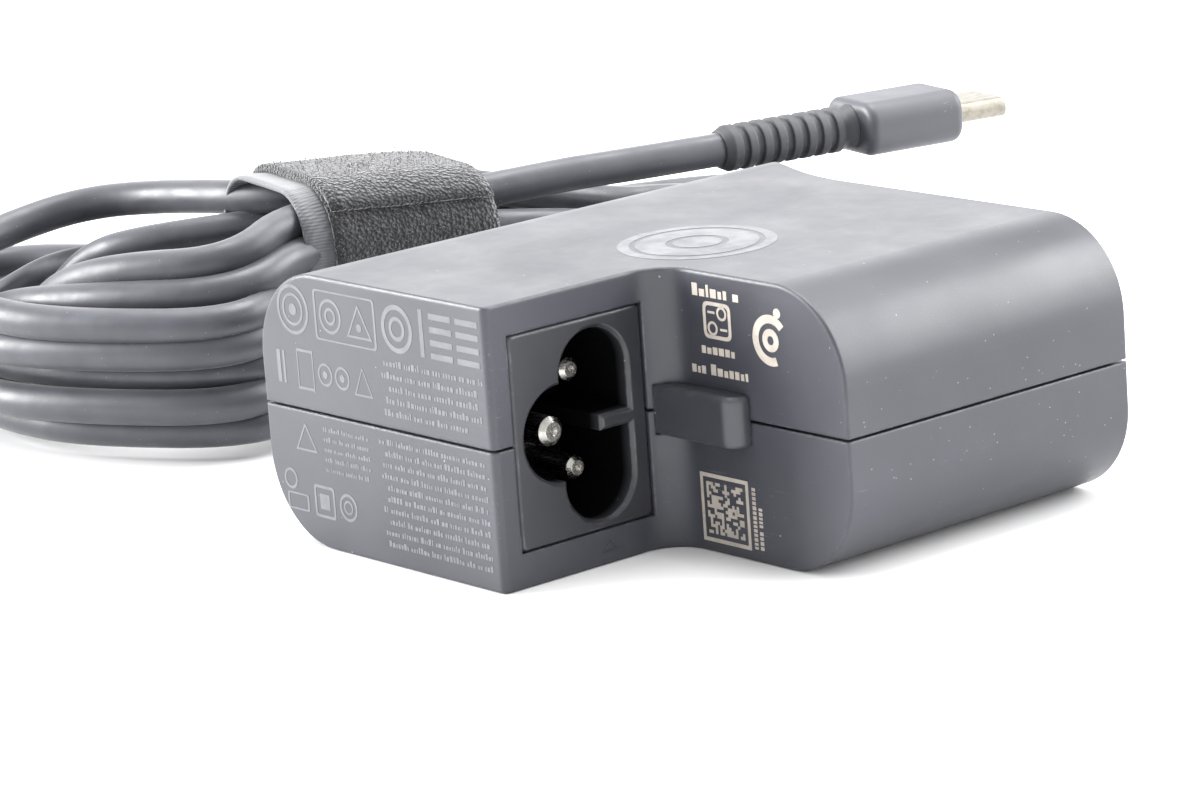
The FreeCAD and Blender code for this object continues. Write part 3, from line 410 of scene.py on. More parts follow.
@dataclass(frozen=True)
class PileTape(Finish):
    """Hook-and-loop tape: a mat of short loops, matted in patches."""

    mat: float = 2300.0

    def build(self) -> bpy.types.Material:
        """Build the tape's pile."""
        s = Shader(self.name)
        distance, _ = s.cells(self.mat)
        clump = s.noise(330.0, 4.0, 0.7)
        colour = s.mix(s.spread(clump, 0.35, 0.65), self.shade(0.7), self.shade(1.5))
        colour = s.mix(s.spread(distance, 0.2, 0.6), colour, self.shade(0.45))
        height = s.sum("ADD", s.sum("MULTIPLY", distance, 0.6), s.sum("MULTIPLY", clump, 0.5))
        normal = s.bump(height, 0.0006, 0.9)
        return s.finish(Base_Color=colour, Roughness=0.95, Normal=normal,
                        Sheen_Weight=0.55, Sheen_Roughness=0.45)


@dataclass(frozen=True)
class WovenEdge(Finish):
    """The tape's close-woven side: fine ribs with a soft sheen."""

    def build(self) -> bpy.types.Material:
        """Build the woven surface."""
        s = Shader(self.name)
        ribs = s.sum("ADD", s.sum("MULTIPLY", s.waves(900.0, Axis.Z, 1.5), 0.5),
                     s.sum("MULTIPLY", s.waves(900.0, Axis.X, 1.5), 0.5))
        colour = s.mix(ribs, self.shade(0.75), self.shade(1.3))
        colour = s.mix(s.spread(s.noise(500.0, 3.0), 0.4, 0.7, 0.0, 0.5), colour, self.shade(1.7))
        return s.finish(Base_Color=colour, Roughness=self.rough, Sheen_Weight=0.3,
                        Normal=s.bump(ribs, 0.0001, 0.6))


@dataclass(frozen=True)
class PrintedInk(Finish):
    """Pad-printed ink: thin, slightly broken, with the case showing through where it is rubbed."""

    under: Colour = (0.05, 0.05, 0.055)
    rubbed: float = 0.35

    def build(self) -> bpy.types.Material:
        """Build the printed surface."""
        s = Shader(self.name)
        holes = s.spread(s.noise(2600.0, 4.0, 0.75), 0.56, 0.68)
        patch = s.spread(s.noise(190.0, 3.0, 0.6), 0.45, 0.65)
        gone = s.sum("MULTIPLY", s.sum("MULTIPLY", holes, patch), self.rubbed)
        shade = s.mix(s.spread(s.noise(600.0, 3.0), 0.35, 0.65), self.shade(0.86), self.shade(1.08))
        rough = s.spread(patch, 0.0, 1.0, self.rough - 0.05, self.rough + 0.12)
        return s.finish(Base_Color=s.mix(gone, shade, self.under), Roughness=rough,
                        Normal=s.bump(s.noise(5200.0, 2.0), 0.000015, 0.5))


@dataclass(frozen=True)
class BoardLacquer(Finish):
    """Circuit board: lacquer over copper tracks, with solder pads."""

    copper: Colour = (0.10, 0.36, 0.16)

    def build(self) -> bpy.types.Material:
        """Build the lacquered board."""
        s = Shader(self.name)
        wide = s.spread(s.noise(140.0, 0.0), 0.48, 0.50)
        fine = s.spread(s.waves(420.0, Axis.X, 9.0), 0.55, 0.62)
        tracks = s.sum("MAXIMUM", wide, s.sum("MULTIPLY", fine, 0.7))
        colour = s.mix(tracks, self.tone, self.copper)
        distance, _ = s.cells(380.0)
        pads = s.spread(distance, 0.2, 0.17)
        colour = s.mix(pads, colour, (0.62, 0.62, 0.6))
        rough = s.spread(pads, 0.0, 1.0, self.rough, 0.3)
        height = s.sum("ADD", s.sum("MULTIPLY", tracks, 0.5), s.sum("MULTIPLY", pads, 0.5))
        return s.finish(Base_Color=colour, Roughness=rough, Normal=s.bump(height, 0.00006, 0.8))


@dataclass(frozen=True)
class RolledSheet(Finish):
    """Rolled or pressed sheet: metal or film, with directional streaks."""

    metal: float = 1.0

    def build(self) -> bpy.types.Material:
        """Build the sheet."""
        s = Shader(self.name)
        streak = s.noise(1.0, 3.0, 0.6, s.stretched((60.0, 2400.0, 2400.0)))
        colour = s.mix(s.spread(streak, 0.3, 0.7), self.shade(0.85), self.shade(1.08))
        rough = s.spread(s.noise(120.0, 3.0), 0.3, 0.7, self.rough - 0.08, self.rough + 0.08)
        normal = s.bump(streak, 0.00001, 0.5, s.soft_edge(0.0001))
        return s.finish(Base_Color=colour, Metallic=self.metal, Roughness=rough, Normal=normal)


@dataclass(frozen=True)
class Sintered(Finish):
    """Ferrite or fired ceramic: dense, speckled, chipped at the edges."""

    speckle: float = 2600.0

    def build(self) -> bpy.types.Material:
        """Build the sintered surface."""
        s = Shader(self.name)
        spots = s.spread(s.noise(self.speckle, 3.0, 0.7), 0.35, 0.7)
        colour = s.mix(spots, self.shade(0.75), self.shade(1.35))
        chips = s.sum("MULTIPLY", s.edge_mask(0.0003), s.spread(s.noise(900.0, 2.0), 0.5, 0.6))
        colour = s.mix(s.sum("MULTIPLY", chips, 0.6), colour, self.shade(2.6))
        return s.finish(Base_Color=colour, Roughness=self.rough,
                        Normal=s.bump(spots, 0.00003, 0.6, s.soft_edge(0.0003)))


@dataclass(frozen=True)
class Windings(Finish):
    """Close turns of enamelled wire."""

    across: Axis = Axis.Z

    def build(self) -> bpy.types.Material:
        """Build the wound surface."""
        s = Shader(self.name)
        turns = s.waves(520.0, self.across, 0.6)
        colour = s.mix(s.spread(turns, 0.1, 0.9), self.shade(0.4), self.shade(1.2))
        colour = s.mix(s.spread(s.noise(600.0, 3.0), 0.4, 0.8, 0.0, 0.4), colour, self.shade(0.6))
        return s.finish(Base_Color=colour, Metallic=0.7, Roughness=self.rough,
                        Normal=s.bump(turns, 0.0003, 0.9), Coat_Weight=0.3)


@dataclass(frozen=True)
class CanSleeve(Finish):
    """A capacitor's shrink sleeve with one pale stripe up its side."""

    stripe: Colour = (0.55, 0.56, 0.58)

    def build(self) -> bpy.types.Material:
        """Build the sleeve."""
        s = Shader(self.name)
        band = s.spread(s.waves(28.0, Axis.X), 0.93, 0.95)
        colour = s.mix(band, s.mix(s.noise(300.0, 3.0), self.shade(0.85), self.shade(1.2)), self.stripe)
        rough = s.spread(s.noise(150.0, 3.0), 0.3, 0.7, self.rough - 0.06, self.rough + 0.1)
        return s.finish(Base_Color=colour, Roughness=rough, Coat_Weight=0.25,
                        Normal=s.bump(s.noise(1500.0, 2.0), 0.00003, 0.5, s.soft_edge(0.0003)))


@dataclass(frozen=True)
class StudioFloor(Finish):
    """Pale seamless paper."""

    def build(self) -> bpy.types.Material:
        """Build the paper."""
        s = Shader(self.name)
        tooth = s.noise(900.0, 3.0)
        colour = s.mix(s.noise(6.0, 2.0), self.shade(0.985), self.tone)
        return s.finish(Base_Color=colour, Roughness=self.rough, Normal=s.bump(tooth, 0.00004, 0.3))


CASE = Moulding("case_moulding", (0.036, 0.0373, 0.0465), 0.40, dust=0.45, scratches=0.35)
# the inlet's cavity gets painted shade, from just inside its mouth inwards
INLET = SocketMoulding("inlet_moulding", (0.022, 0.0225, 0.027), 0.34, grain=3000.0, relief=0.00001,
                       edge=0.0003, wear=0.9, dust=0.5, scratches=0.3, lit_from=0.0049)
RAIL = Moulding("rail_moulding", (0.037, 0.038, 0.046), 0.32, grain=2600.0, relief=0.00001,
                edge=0.0005, wear=0.8, dust=0.7, scratches=1.0)
GRIP = Moulding("plug_grip_moulding", (0.056, 0.058, 0.068), 0.48, edge=0.0006, dust=0.3)
SLEEVE = Moulding("strain_relief_rubber", (0.034, 0.035, 0.040), 0.55, grain=2600.0,
                  edge=0.0003, wear=0.25, dust=0.3, scratches=0.0)
CARRIER = Moulding("contact_carrier", (0.02, 0.02, 0.022), 0.5, dust=0.0, scratches=0.0)
COMPONENT = Moulding("component_body", (0.022, 0.022, 0.024), 0.5, dust=0.0, scratches=0.0,
                     edge=0.0002)
FILM_BOX = Moulding("film_capacitor_box", (0.62, 0.45, 0.05), 0.4, dust=0.0, scratches=0.0)
PIN = Plating("pin_plating", (0.44, 0.43, 0.40), 0.26, along=Axis.X)
PLUG_TIP = Plating("plug_tip_plating", (0.25, 0.235, 0.20), 0.38, along=Axis.Y)
CONTACT = Plating("contact_plating", (0.90, 0.66, 0.28), 0.25, along=Axis.Y)
JACKET = CordJacket("cord_jacket", (0.036, 0.038, 0.047), 0.44)
WIRE_RED = CordJacket("wire_jacket_live", (0.42, 0.10, 0.05), 0.4)
WIRE_BLUE = CordJacket("wire_jacket_neutral", (0.04, 0.10, 0.40), 0.4)
WIRE_GREEN = CordJacket("wire_jacket_earth", (0.20, 0.42, 0.05), 0.4)
PILE = PileTape("strap_pile", (0.027, 0.028, 0.034))
WEAVE = WovenEdge("strap_woven_edge", (0.075, 0.077, 0.085), 0.6)
GREY_INK = PrintedInk("label_ink", (0.105, 0.108, 0.12), 0.5)
PALE_INK = PrintedInk("mark_ink", (0.42, 0.38, 0.335), 0.55, rubbed=0.5)
SILVER_INK = PrintedInk("badge_ink", (0.10, 0.103, 0.113), 0.42, rubbed=0.15)
BOARD = BoardLacquer("board_lacquer", (0.015, 0.15, 0.05), 0.35)
ALUMINIUM = RolledSheet("aluminium_sheet", (0.78, 0.79, 0.80), 0.38)
FILM = RolledSheet("insulating_film", (0.70, 0.66, 0.52), 0.5, metal=0.0)
PAD = Sintered("thermal_pad_rubber", (0.33, 0.36, 0.42), 0.8)
FERRITE = Sintered("ferrite", (0.055, 0.055, 0.06), 0.55)
DISC = Sintered("lacquered_disc", (0.05, 0.16, 0.42), 0.3)
COPPER = Windings("copper_winding", (0.75, 0.32, 0.12), 0.35)
CHOKE_COPPER = Windings("choke_copper", (0.75, 0.32, 0.12), 0.35, across=Axis.X)
SLEEVED_CAN = CanSleeve("can_sleeve", (0.03, 0.035, 0.05), 0.35)
FLOOR = StudioFloor("studio_paper", (0.74, 0.74, 0.745), 0.9)


# ------------------------------------------------------------------------------ the view

@dataclass(frozen=True)
class SoftLight:
    """A square soft light that faces the adapter: where it hangs and its side in metres, its watts."""

    name: str
    at: Point
    side: float
    power: float


@dataclass
class Studio:
    """Camera, floor and light."""

    stand: Point = (0.3369, -0.2940, 0.1217)
    turn: float = 50.38
    tilt: float = 13.73
    roll: float = -4.17
    lens: float = 135.97
    sky: float = 1.35
    aim: Point = (0.0, 0.0, 0.02)
    floor_half: float = 4.0
    floor_gap: float = 0.00005
    lights: Sequence[SoftLight] = (
        SoftLight("left_soft_light", (-1.2, -0.95, 0.5), 0.8, 66.0),
        SoftLight("top_soft_light", (-0.2, 0.35, 1.4), 1.0, 34.0),
        SoftLight("right_soft_light", (1.1, 1.1, 0.5), 0.8, 13.0),
        SoftLight("back_soft_light", (0.5, 1.3, 0.9), 0.9, 30.0),
        SoftLight("lid_soft_light", (-1.2, 1.0, 0.5), 0.9, 3.4))

    def place_camera(self) -> None:
        """Stand the camera and make it the scene's own."""
        turn, tilt, roll = (math.radians(a) for a in (self.turn, self.tilt, self.roll))
        back = Vector((math.sin(turn) * math.cos(tilt), -math.cos(turn) * math.cos(tilt),
                       math.sin(tilt)))
        right = Vector((math.cos(turn), math.sin(turn), 0.0))
        up = back.cross(right)
        side = right * math.cos(roll) + up * math.sin(roll)
        top = up * math.cos(roll) - right * math.sin(roll)
        data = bpy.data.cameras.new("camera")
        data.lens = self.lens
        data.sensor_width = 36.0
        data.clip_start = 0.01
        camera = put_in_scene(bpy.data.objects.new("camera", data))
        facing = Matrix((side, top, back)).transposed().to_4x4()
        camera.matrix_world = Matrix.Translation(self.stand) @ facing
        bpy.context.scene.camera = camera

    def lay_floor(self) -> None:
        """Lay a wide sheet of paper under the adapter."""
        work = bmesh.new()
        bmesh.ops.create_grid(work, x_segments=8, y_segments=8, size=self.floor_half)
        mesh = bpy.data.meshes.new("floor")
        work.to_mesh(mesh)
        work.free()
        floor = put_in_scene(bpy.data.objects.new("floor", mesh))
        floor.location.z = -self.floor_gap
        FLOOR.dress(floor)

    def hang(self, light: SoftLight) -> None:
        """Hang one soft light, facing the adapter."""
        data = bpy.data.lights.new(light.name, "AREA")
        data.size = light.side
        data.energy = light.power
        lamp = put_in_scene(bpy.data.objects.new(light.name, data))
        away = Vector(light.at) - Vector(self.aim)
        facing = away.to_track_quat("Z", "Y").to_matrix().to_4x4()
        lamp.matrix_world = Matrix.Translation(light.at) @ facing

    def light(self) -> None:
        """Surround the adapter with an even white room and hang the soft lights."""
        world = bpy.data.worlds.new("white_room")
        world.use_nodes = True
        sky = world.node_tree.nodes["Background"]
        sky.inputs["Color"].default_value = (1.0, 1.0, 1.0, 1.0)
        sky.inputs["Strength"].default_value = self.sky
        bpy.context.scene.world = world
        bpy.context.scene.view_settings.view_transform = "Standard"
        for light in self.lights:
            self.hang(light)


# ------------------------------------------------------------------------------ the cord

@dataclass
class OutputCord:
    """The captive low-voltage cord: a lead to the bundle, wound turns, and a tail to the plug."""

    diameter: float = 4.0
    length: float = 1.8
    turns: int = 7
    bundle: Point = (-70.3, 9.7, 0.0)
    lean: float = 12.0
    lead: Sequence[Point] = (
        (-24.8, 53.3, 14.25), (-24.8, 60.6, 14.25), (-29.6, 71.0, 8.2), (-39.5, 77.4, 3.6),
        (-50.5, 79.4, 2.1), (-61.2, 76.9, 2.1), (-68.0, 70.2, 2.1), (-71.0, 61.6, 2.1),
        (-73.5, 51.3, 2.1), (-75.6, 41.5, 2.1))
    tail: Sequence[Point] = (
        (-60.9, 24.1, 23.2), (-59.02, 32.92, 23.4), (-57.08, 42.08, 23.2), (-55.14, 51.19, 23.2))
    # the open loops: half length and half width of a full one, where a loop of no reach would
    # have its middle, and how far reach carries that middle out
    oval: Flat = (27.0, 14.0)
    oval_root: Flat = (-72.3, -14.3)
    oval_shift: float = 17.5
    oval_power: float = 0.8
    oval_degrees: Sequence[int] = (112, 143, 170, 200, 232, 264, 293)
    # how far each turn's open loop reaches and how wide it is, as shares of a full one
    reach: Sequence[float] = (0.80, 1.12, 1.0, 1.18, 0.88, 0.84, 0.62)
    width: Sequence[float] = (0.95, 1.18, 0.90, 1.20, 0.72, 1.16, 0.50)
    # the height at which the strap holds each turn's far strand, and its near strand
    far: Sequence[float] = (3.9, 7.4, 11.0, 14.5, 17.4, 24.4, 20.8)
    near: Sequence[float] = (3.9, 7.4, 11.0, 14.5, 20.8, 17.4, 24.3)
    # half the gap between a turn's two strands where the strap holds them
    waist: Sequence[float] = (8.3, 3.0, 8.3, 3.0, 8.3, 3.0, 6.2)
    # where a far and a near strand pass the strap: along it, how much wider, share of the height
    far_hold: Sequence[Hold] = ((13.0, 0.0, 0.94), (2.0, 0.0, 0.97), (-8.5, 0.3, 1.0))
    near_hold: Sequence[Hold] = ((-11.0, 0.0, 1.0), (12.0, 0.0, 0.95))
    # the closed ends: how far past the strap each one's middle is, its radius, how far all of
    # them are moved along X, and the directions of their points
    behind: Sequence[float] = (32.0, 44.0, 36.0, 46.0, 35.0, 31.0, 26.0)
    bend: Sequence[float] = (10.0, 13.6, 10.2, 13.8, 10.0, 13.4, 11.0)
    closed_shift: float = 4.5
    closed_degrees: Sequence[int] = (-15, 32, 78, 124, 171)
    # how far each step of an open loop has gone from its far height to its near one, and how
    # much of that height it keeps there; the last step is where it rounds back to the strap
    gone: Sequence[float] = (0.0, 0.06, 0.18, 0.36, 0.56, 0.74, 0.88, 0.96)
    kept: Sequence[float] = (0.92, 0.90, 0.87, 0.84, 0.83, 0.83, 0.85, 0.88)
    # the two slack turns, whose near strands climb across the oval: what they keep of their height
    # where they hang lowest, and how far along they have stopped hanging
    slack: Dict[int, float] = field(default_factory=lambda: {4: 0.62, 6: 0.55})
    slack_end: float = 0.8
    # where the narrowest turn rounds back to the strap, and how far out a wider one goes
    rounding: Flat = (-62.3, -14.0)
    rounding_out: float = 11.0
    rounding_slope: float = 0.35
    # the height that a closed end may reach under the tail, and the share of it that is kept
    closed_top: float = 17.6
    closed_kept: float = 0.92
    table_gap: float = 0.1

    @property
    def lowest(self) -> float:
        """The height of the centre line of a strand that lies on the table."""
        return self.diameter / 2 + self.table_gap

    def along(self, reach: float, side: float) -> Flat:
        """A point of the bundle's own plan.

        Args:
            reach: how far it is along the bundle, towards the closed end.
            side: how far it is to the case's side.

        Returns:
            The point in the adapter's own plan, in millimetres.
        """
        lean = math.radians(self.lean)
        return (self.bundle[0] + math.sin(lean) * reach + math.cos(lean) * side,
                self.bundle[1] + math.cos(lean) * reach - math.sin(lean) * side)

    def open_loop(self, turn: int) -> List[Flat]:
        """The turn's loop on the open side: a squarish oval round its own middle."""
        reach = self.reach[turn]
        half_long, half_wide = self.oval[0] * reach, self.oval[1] * self.width[turn]
        middle_x, middle_y = self.oval_root[0] - self.oval_shift * reach, self.oval_root[1]
        points = []
        for degrees in self.oval_degrees:
            c, s = math.cos(math.radians(degrees)), math.sin(math.radians(degrees))
            points.append((middle_x + half_long * math.copysign(abs(c) ** self.oval_power, c),
                           middle_y + half_wide * math.copysign(abs(s) ** self.oval_power, s)))
        return points

    def closed_loop(self, turn: int) -> List[Flat]:
        """The turn's loop on the slim side: most of a circle."""
        x, y = self.along(self.behind[turn], 0.0)
        radius = self.bend[turn]
        return [(x + self.closed_shift + radius * math.cos(math.radians(degrees)),
                 y + radius * math.sin(math.radians(degrees)))
                for degrees in self.closed_degrees]

    def loose_heights(self, turn: int) -> List[float]:
        """How high each step of a turn's open loop lies."""
        hang = 1 - self.slack.get(turn, 1.0)
        heights = []
        for gone, kept in zip(self.gone, self.kept):
            held = self.far[turn] * (1 - gone) + self.near[turn] * gone
            fall = 1 - hang * math.sin(math.pi * min(1.0, gone / self.slack_end))
            heights.append(max(self.lowest, held * kept * fall))
        return heights

    def one_turn(self, turn: int) -> List[Point]:
        """Control points of one turn, from the strap's far side round and back to it."""
        side = self.waist[turn]
        far, near = self.far[turn], self.near[turn]
        loose = self.loose_heights(turn)
        points = [(*self.along(at, -side - wider), far * share) for at, wider, share in self.far_hold]
        points += [(x, y, z) for (x, y), z in zip(self.open_loop(turn), loose)]
        out = (self.width[turn] - min(self.width)) * self.rounding_out
        points += [(self.rounding[0] + out, self.rounding[1] - out * self.rounding_slope, loose[-1])]
        points += [(*self.along(at, side + wider), near * share) for at, wider, share in self.near_hold]
        if turn < self.turns - 1:
            start, end = (min(height, self.closed_top) * self.closed_kept
                          for height in (near, self.far[turn + 1]))
            ends = self.closed_loop(turn)
            points += [(x, y, max(self.lowest, start + (end - start) * k / len(ends)))
                       for k, (x, y) in enumerate(ends)]
        return points

    def route(self) -> List[Point]:
        """Every control point in millimetres, from the case to the plug."""
        wound = [point for turn in range(self.turns) for point in self.one_turn(turn)]
        return [*self.lead, *wound, *self.tail]

    def build(self) -> bpy.types.Object:
        """Returns:
            The cord's curve.
        """
        points = millimetres(self.route())
        curve = bpy.data.curves.new("output_cord", "CURVE")
        curve.dimensions = "3D"
        spline = curve.splines.new("NURBS")
        spline.points.add(len(points) - 1)
        for point, place in zip(spline.points, points):
            point.co = (*place, 1.0)
            point.radius = self.diameter / 2 * MM
        spline.order_u = 3
        spline.use_endpoint_u = True
        spline.resolution_u = 10
        # the thickness is each point's own radius, so the curve's bounds are true
        curve.bevel_depth = 1.0
        curve.bevel_resolution = 6
        curve.use_fill_caps = True
        cord = put_in_scene(bpy.data.objects.new("output_cord", curve))
        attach(cord, "root")
        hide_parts("output_cord_lead", "output_cord_coil", "output_cord_tail")
        JACKET.dress(cord)
        return cord

    def declare(self) -> None:
        """Work out where the cord leaves the case, in metres; nothing is done with it here.
        """
        exit_point = tuple(v * MM for v in self.lead[0])


# ------------------------------------------------------------------------------ the strap

@dataclass
class CableStrap:
    """Hook-and-loop strap round the bundle: two plies, a lapped end and a coat of loops.

    Its own frame is side (towards the case), reach (along the bundle) and height, in millimetres.
    """

    cord: OutputCord
    half_wide: float = 10.5
    low: float = 1.8
    high: float = 26.4
    ply: float = 0.75
    ply_gap: float = 0.05
    half_long: float = 12.0
    # how much lower it is at the bundle's closed end, and the smooth edge without pile
    fall: float = 0.07
    selvedge: float = 3.2
    corner: float = 5.4
    foot_corner: float = 2.0
    spacing: float = 1.2
    # the cloth is pushed out from the line at this height: it pillows and ripples above its foot
    core: float = 14.0
    pillow: float = 0.30
    ripple: float = 0.16
    flat_below: float = 4.0
    ripple_across: float = 3.1
    ripple_up: float = 0.21
    # the cut edges: how far they are rounded, over one of this many parts of half the width
    rim_round: float = 0.16
    rim_parts: float = 9.0
    table_gap: float = 0.02
    # the lapped end: how far it stands off the plies, the height it starts at, how much of the
    # way over it goes, its thickness, and how far its last points lift
    lap_gap: float = 0.35
    lap_from: float = 16.0
    lap_share: float = 0.80
    lap_thick: float = 0.6
    lap_lift: float = 0.35
    # the coat of fuzz: the number of its fibres, and half the width of one
    hairs: int = 15000
    hair_half: float = 0.022
    seed: int = 11
    dice: random.Random = field(init=False)

    def __post_init__(self) -> None:
        """Seed the strap's own random numbers."""
        self.dice = random.Random(self.seed)

    def world(self, side: float, reach: float, height: float) -> Vector:
        """A point of the strap's own frame, in metres; the bundle is lower at its closed end."""
        x, y = self.cord.along(reach, side)
        lower = self.fall * (reach / self.half_long + 1) / 2
        return Vector((x, y, height * (1 - lower))) * MM

    def section(self, outward: float, steps: int = 9) -> List[Flat]:
        """The closed section of a ply, moved outwards.

        Args:
            outward: how far it stands off the bundle, in millimetres.
            steps: points on each corner.

        Returns:
            Points (side, height) once round, from the middle of the underside.
        """
        wide = self.half_wide + outward
        low = self.low - outward
        high = self.high + outward
        top, foot = self.corner + outward, self.foot_corner + outward
        points: List[Flat] = []
        for x, z, radius, start in ((wide, low, foot, -90), (wide, high, top, 0),
                                    (-wide, high, top, 90), (-wide, low, foot, 180)):
            middle_x = x - math.copysign(radius, x)
            middle_z = z + radius if z == low else z - radius
            for i in range(steps):
                angle = math.radians(start + 90 * i / (steps - 1))
                points.append((middle_x + radius * math.cos(angle),
                               middle_z + radius * math.sin(angle)))
        dense: List[Flat] = []
        for (x0, z0), (x1, z1) in zip(points, points[1:] + points[:1]):
            parts = max(1, round(math.hypot(x1 - x0, z1 - z0) / self.spacing))
            dense += [(x0 + (x1 - x0) * k / parts, z0 + (z1 - z0) * k / parts)
                      for k in range(parts)]
        return dense

    def sag(self, reach: float, height: float) -> float:
        """How far the cloth stands off a true section: it pillows between its edges."""
        if height <= self.flat_below:
            return 0.0
        across = reach / self.half_long
        wave = math.sin(self.ripple_across * across + self.ripple_up * height)
        return self.pillow * (1 - across * across) + self.ripple * wave

    def outward(self, side: float, height: float) -> Flat:
        """The direction away from the strap's core, at a point of its section."""
        length = math.hypot(side, height - self.core)
        return side / length, (height - self.core) / length

    def pushed(self, side: float, reach: float, height: float, push: float) -> Vector:
        """A point pushed away from the strap's core, in metres and clear of the table."""
        out_side, out_height = self.outward(side, height)
        return self.world(side + out_side * push, reach,
                          max(self.table_gap, height + out_height * push))

    def band(self, name: str, inner: float, outer: float, start: float,
             end: float) -> bpy.types.Object:
        """One closed ply right round the bundle.

        Args:
            name: the piece's name.
            inner: how far its inside stands off the bundle, in millimetres.
            outer: the same for its outside.
            start: how far short of the strap's near edge it stops.
            end: how far short of its other edge it stops.

        Returns:
            The ply.
        """
        work = bmesh.new()
        columns = 22
        middle = (start - end) / 2
        reach = self.half_long - (start + end) / 2
        rings: List[Ring] = []
        there = range(columns + 1)
        for points, order, rounding in ((self.section(outer), there, self.rim_round),
                                        (self.section(inner), reversed(there), -self.rim_round)):
            for i in order:
                from_middle = -reach + 2 * reach * i / columns
                at = middle + from_middle
                rim = max(0.0, 1 - (1 - abs(from_middle) / reach) * self.rim_parts)
                rings.append([
                    work.verts.new(self.pushed(side, at, height, self.sag(at, height) - rounding * rim))
                    for side, height in points])
        for first, second in zip(rings, rings[1:] + rings[:1]):
            if len(first) != len(second):
                continue
            for k, here in enumerate(first):
                after = (k + 1) % len(first)
                work.faces.new((here, first[after], second[after], second[k]))
        self.close_rims(work, ((rings[columns], rings[columns + 1]), (rings[-1], rings[0])))
        return mesh_piece(name, work, smooth=True)

    @staticmethod
    def close_rims(work: bmesh.types.BMesh, pairs: Iterable[Tuple[Ring, Ring]]) -> None:
        """Join the outside and the inside along both cut edges, where their counts differ.

        The rest of both sides is already there, because bridging needs the edges of its faces.

        Args:
            work: the ply being built.
            pairs: the two rings that meet along each cut edge.
        """
        for pair in pairs:
            if len(pair[0]) == len(pair[1]):
                continue
            edges = []
            for ring in pair:
                edges += [work.edges.get((a, b)) for a, b in zip(ring, ring[1:] + ring[:1])]
            bmesh.ops.bridge_loops(work, edges=edges)

    def lapped_end(self) -> bpy.types.Object:
        """The strap's loose end, lapped over the top ply and cut straight across."""
        work = bmesh.new()
        columns = 16
        lifted_points = 4.0
        path = [p for p in self.section(self.ply * 2 + self.lap_gap) if p[1] > self.lap_from]
        path.sort(key=lambda p: -math.atan2(p[1] - self.lap_from, p[0]))
        path = path[: int(len(path) * self.lap_share)]
        last = len(path) - 1
        near_edge = -self.half_long + self.selvedge + 0.2
        reach = self.half_long - 0.5 - near_edge
        grid: Dict[Tuple[int, int, int], bmesh.types.BMVert] = {}
        for layer in (0, 1):
            for j, (side, height) in enumerate(path):
                for i in range(columns + 1):
                    at = near_edge + reach * i / columns
                    push = self.sag(at, height) - layer * self.lap_thick
                    push += self.lap_lift * max(0.0, 1 - (last - j) / lifted_points)
                    grid[layer, j, i] = work.verts.new(self.pushed(side, at, height, push))
        for layer in (0, 1):
            for j in range(last):
                for i in range(columns):
                    work.faces.new((grid[layer, j, i], grid[layer, j + 1, i],
                                    grid[layer, j + 1, i + 1], grid[layer, j, i + 1]))
        for j in range(last):
            for i in (0, columns):
                work.faces.new((grid[0, j, i], grid[0, j + 1, i], grid[1, j + 1, i], grid[1, j, i]))
        for i in range(columns):
            for j in (0, last):
                work.faces.new((grid[0, j, i], grid[0, j, i + 1], grid[1, j, i + 1], grid[1, j, i]))
        return mesh_piece("cable_strap_end", work, smooth=True)

    def loops(self) -> bpy.types.Object:
        """The coat of fuzz: thousands of short curled fibres over the strap's outside."""
        work = bmesh.new()
        outside = self.section(self.ply * 2)
        lap = self.section(self.ply * 2 + self.lap_gap)
        bare_below = 3.0
        lapped_above = 22.0
        jitter = 0.6
        for _ in range(self.hairs):
            k = self.dice.randrange(len(outside))
            side, height = (lap if outside[k][1] > lapped_above else outside)[k]
            if height < bare_below:
                continue
            at = self.dice.uniform(-self.half_long + self.selvedge + 0.1, self.half_long - 0.4)
            out_side, out_height = self.outward(side, height)
            out = Vector((out_side, 0.0, out_height))
            root = Vector((side, at, height)) + out * self.sag(at, height)
            root += Vector((self.dice.uniform(-jitter, jitter), 0.0, self.dice.uniform(-jitter, jitter)))
            drift = Vector([self.dice.gauss(0.0, 1.0) for _ in range(3)])
            drift = (drift - out * drift.dot(out)).normalized()
            across = out.cross(drift) * self.hair_half
            tall = self.dice.uniform(0.12, 0.42)
            spread = self.dice.uniform(0.1, 0.5)
            # up, over and back down: shares of the height and of the spread at each bend
            spine = [root + out * tall * rise + drift * spread * drawn
                     for rise, drawn in ((0.0, 0.0), (0.7, 0.35), (1.0, 1.0), (0.55, 1.5))]
            sides = [[work.verts.new(self.world(*(p + offset))) for offset in (-across, across)]
                     for p in spine]
            for (a, b), (c, d) in zip(sides, sides[1:]):
                work.faces.new((a, b, d, c))
        return mesh_piece("cable_strap_loops", work)

    def build(self) -> List[bpy.types.Object]:
        """Build the strap.

        Returns:
            Its plies, its lapped end and its coat of loops.
        """
        under = self.band("cable_strap_inner_ply", 0.0, self.ply, 0.0, 0.0)
        WEAVE.dress(under)
        over = self.band("cable_strap_outer_ply", self.ply + self.ply_gap, self.ply * 2,
                         self.selvedge, 0.3)
        PILE.dress(over)
        lap = self.lapped_end()
        PILE.dress(lap)
        fuzz = self.loops()
        PILE.dress(fuzz)
        pieces = [under, over, lap, fuzz]
        for piece in pieces:
            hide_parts("cable_strap")
        return pieces


# ------------------------------------------------------------------------------ printed marks

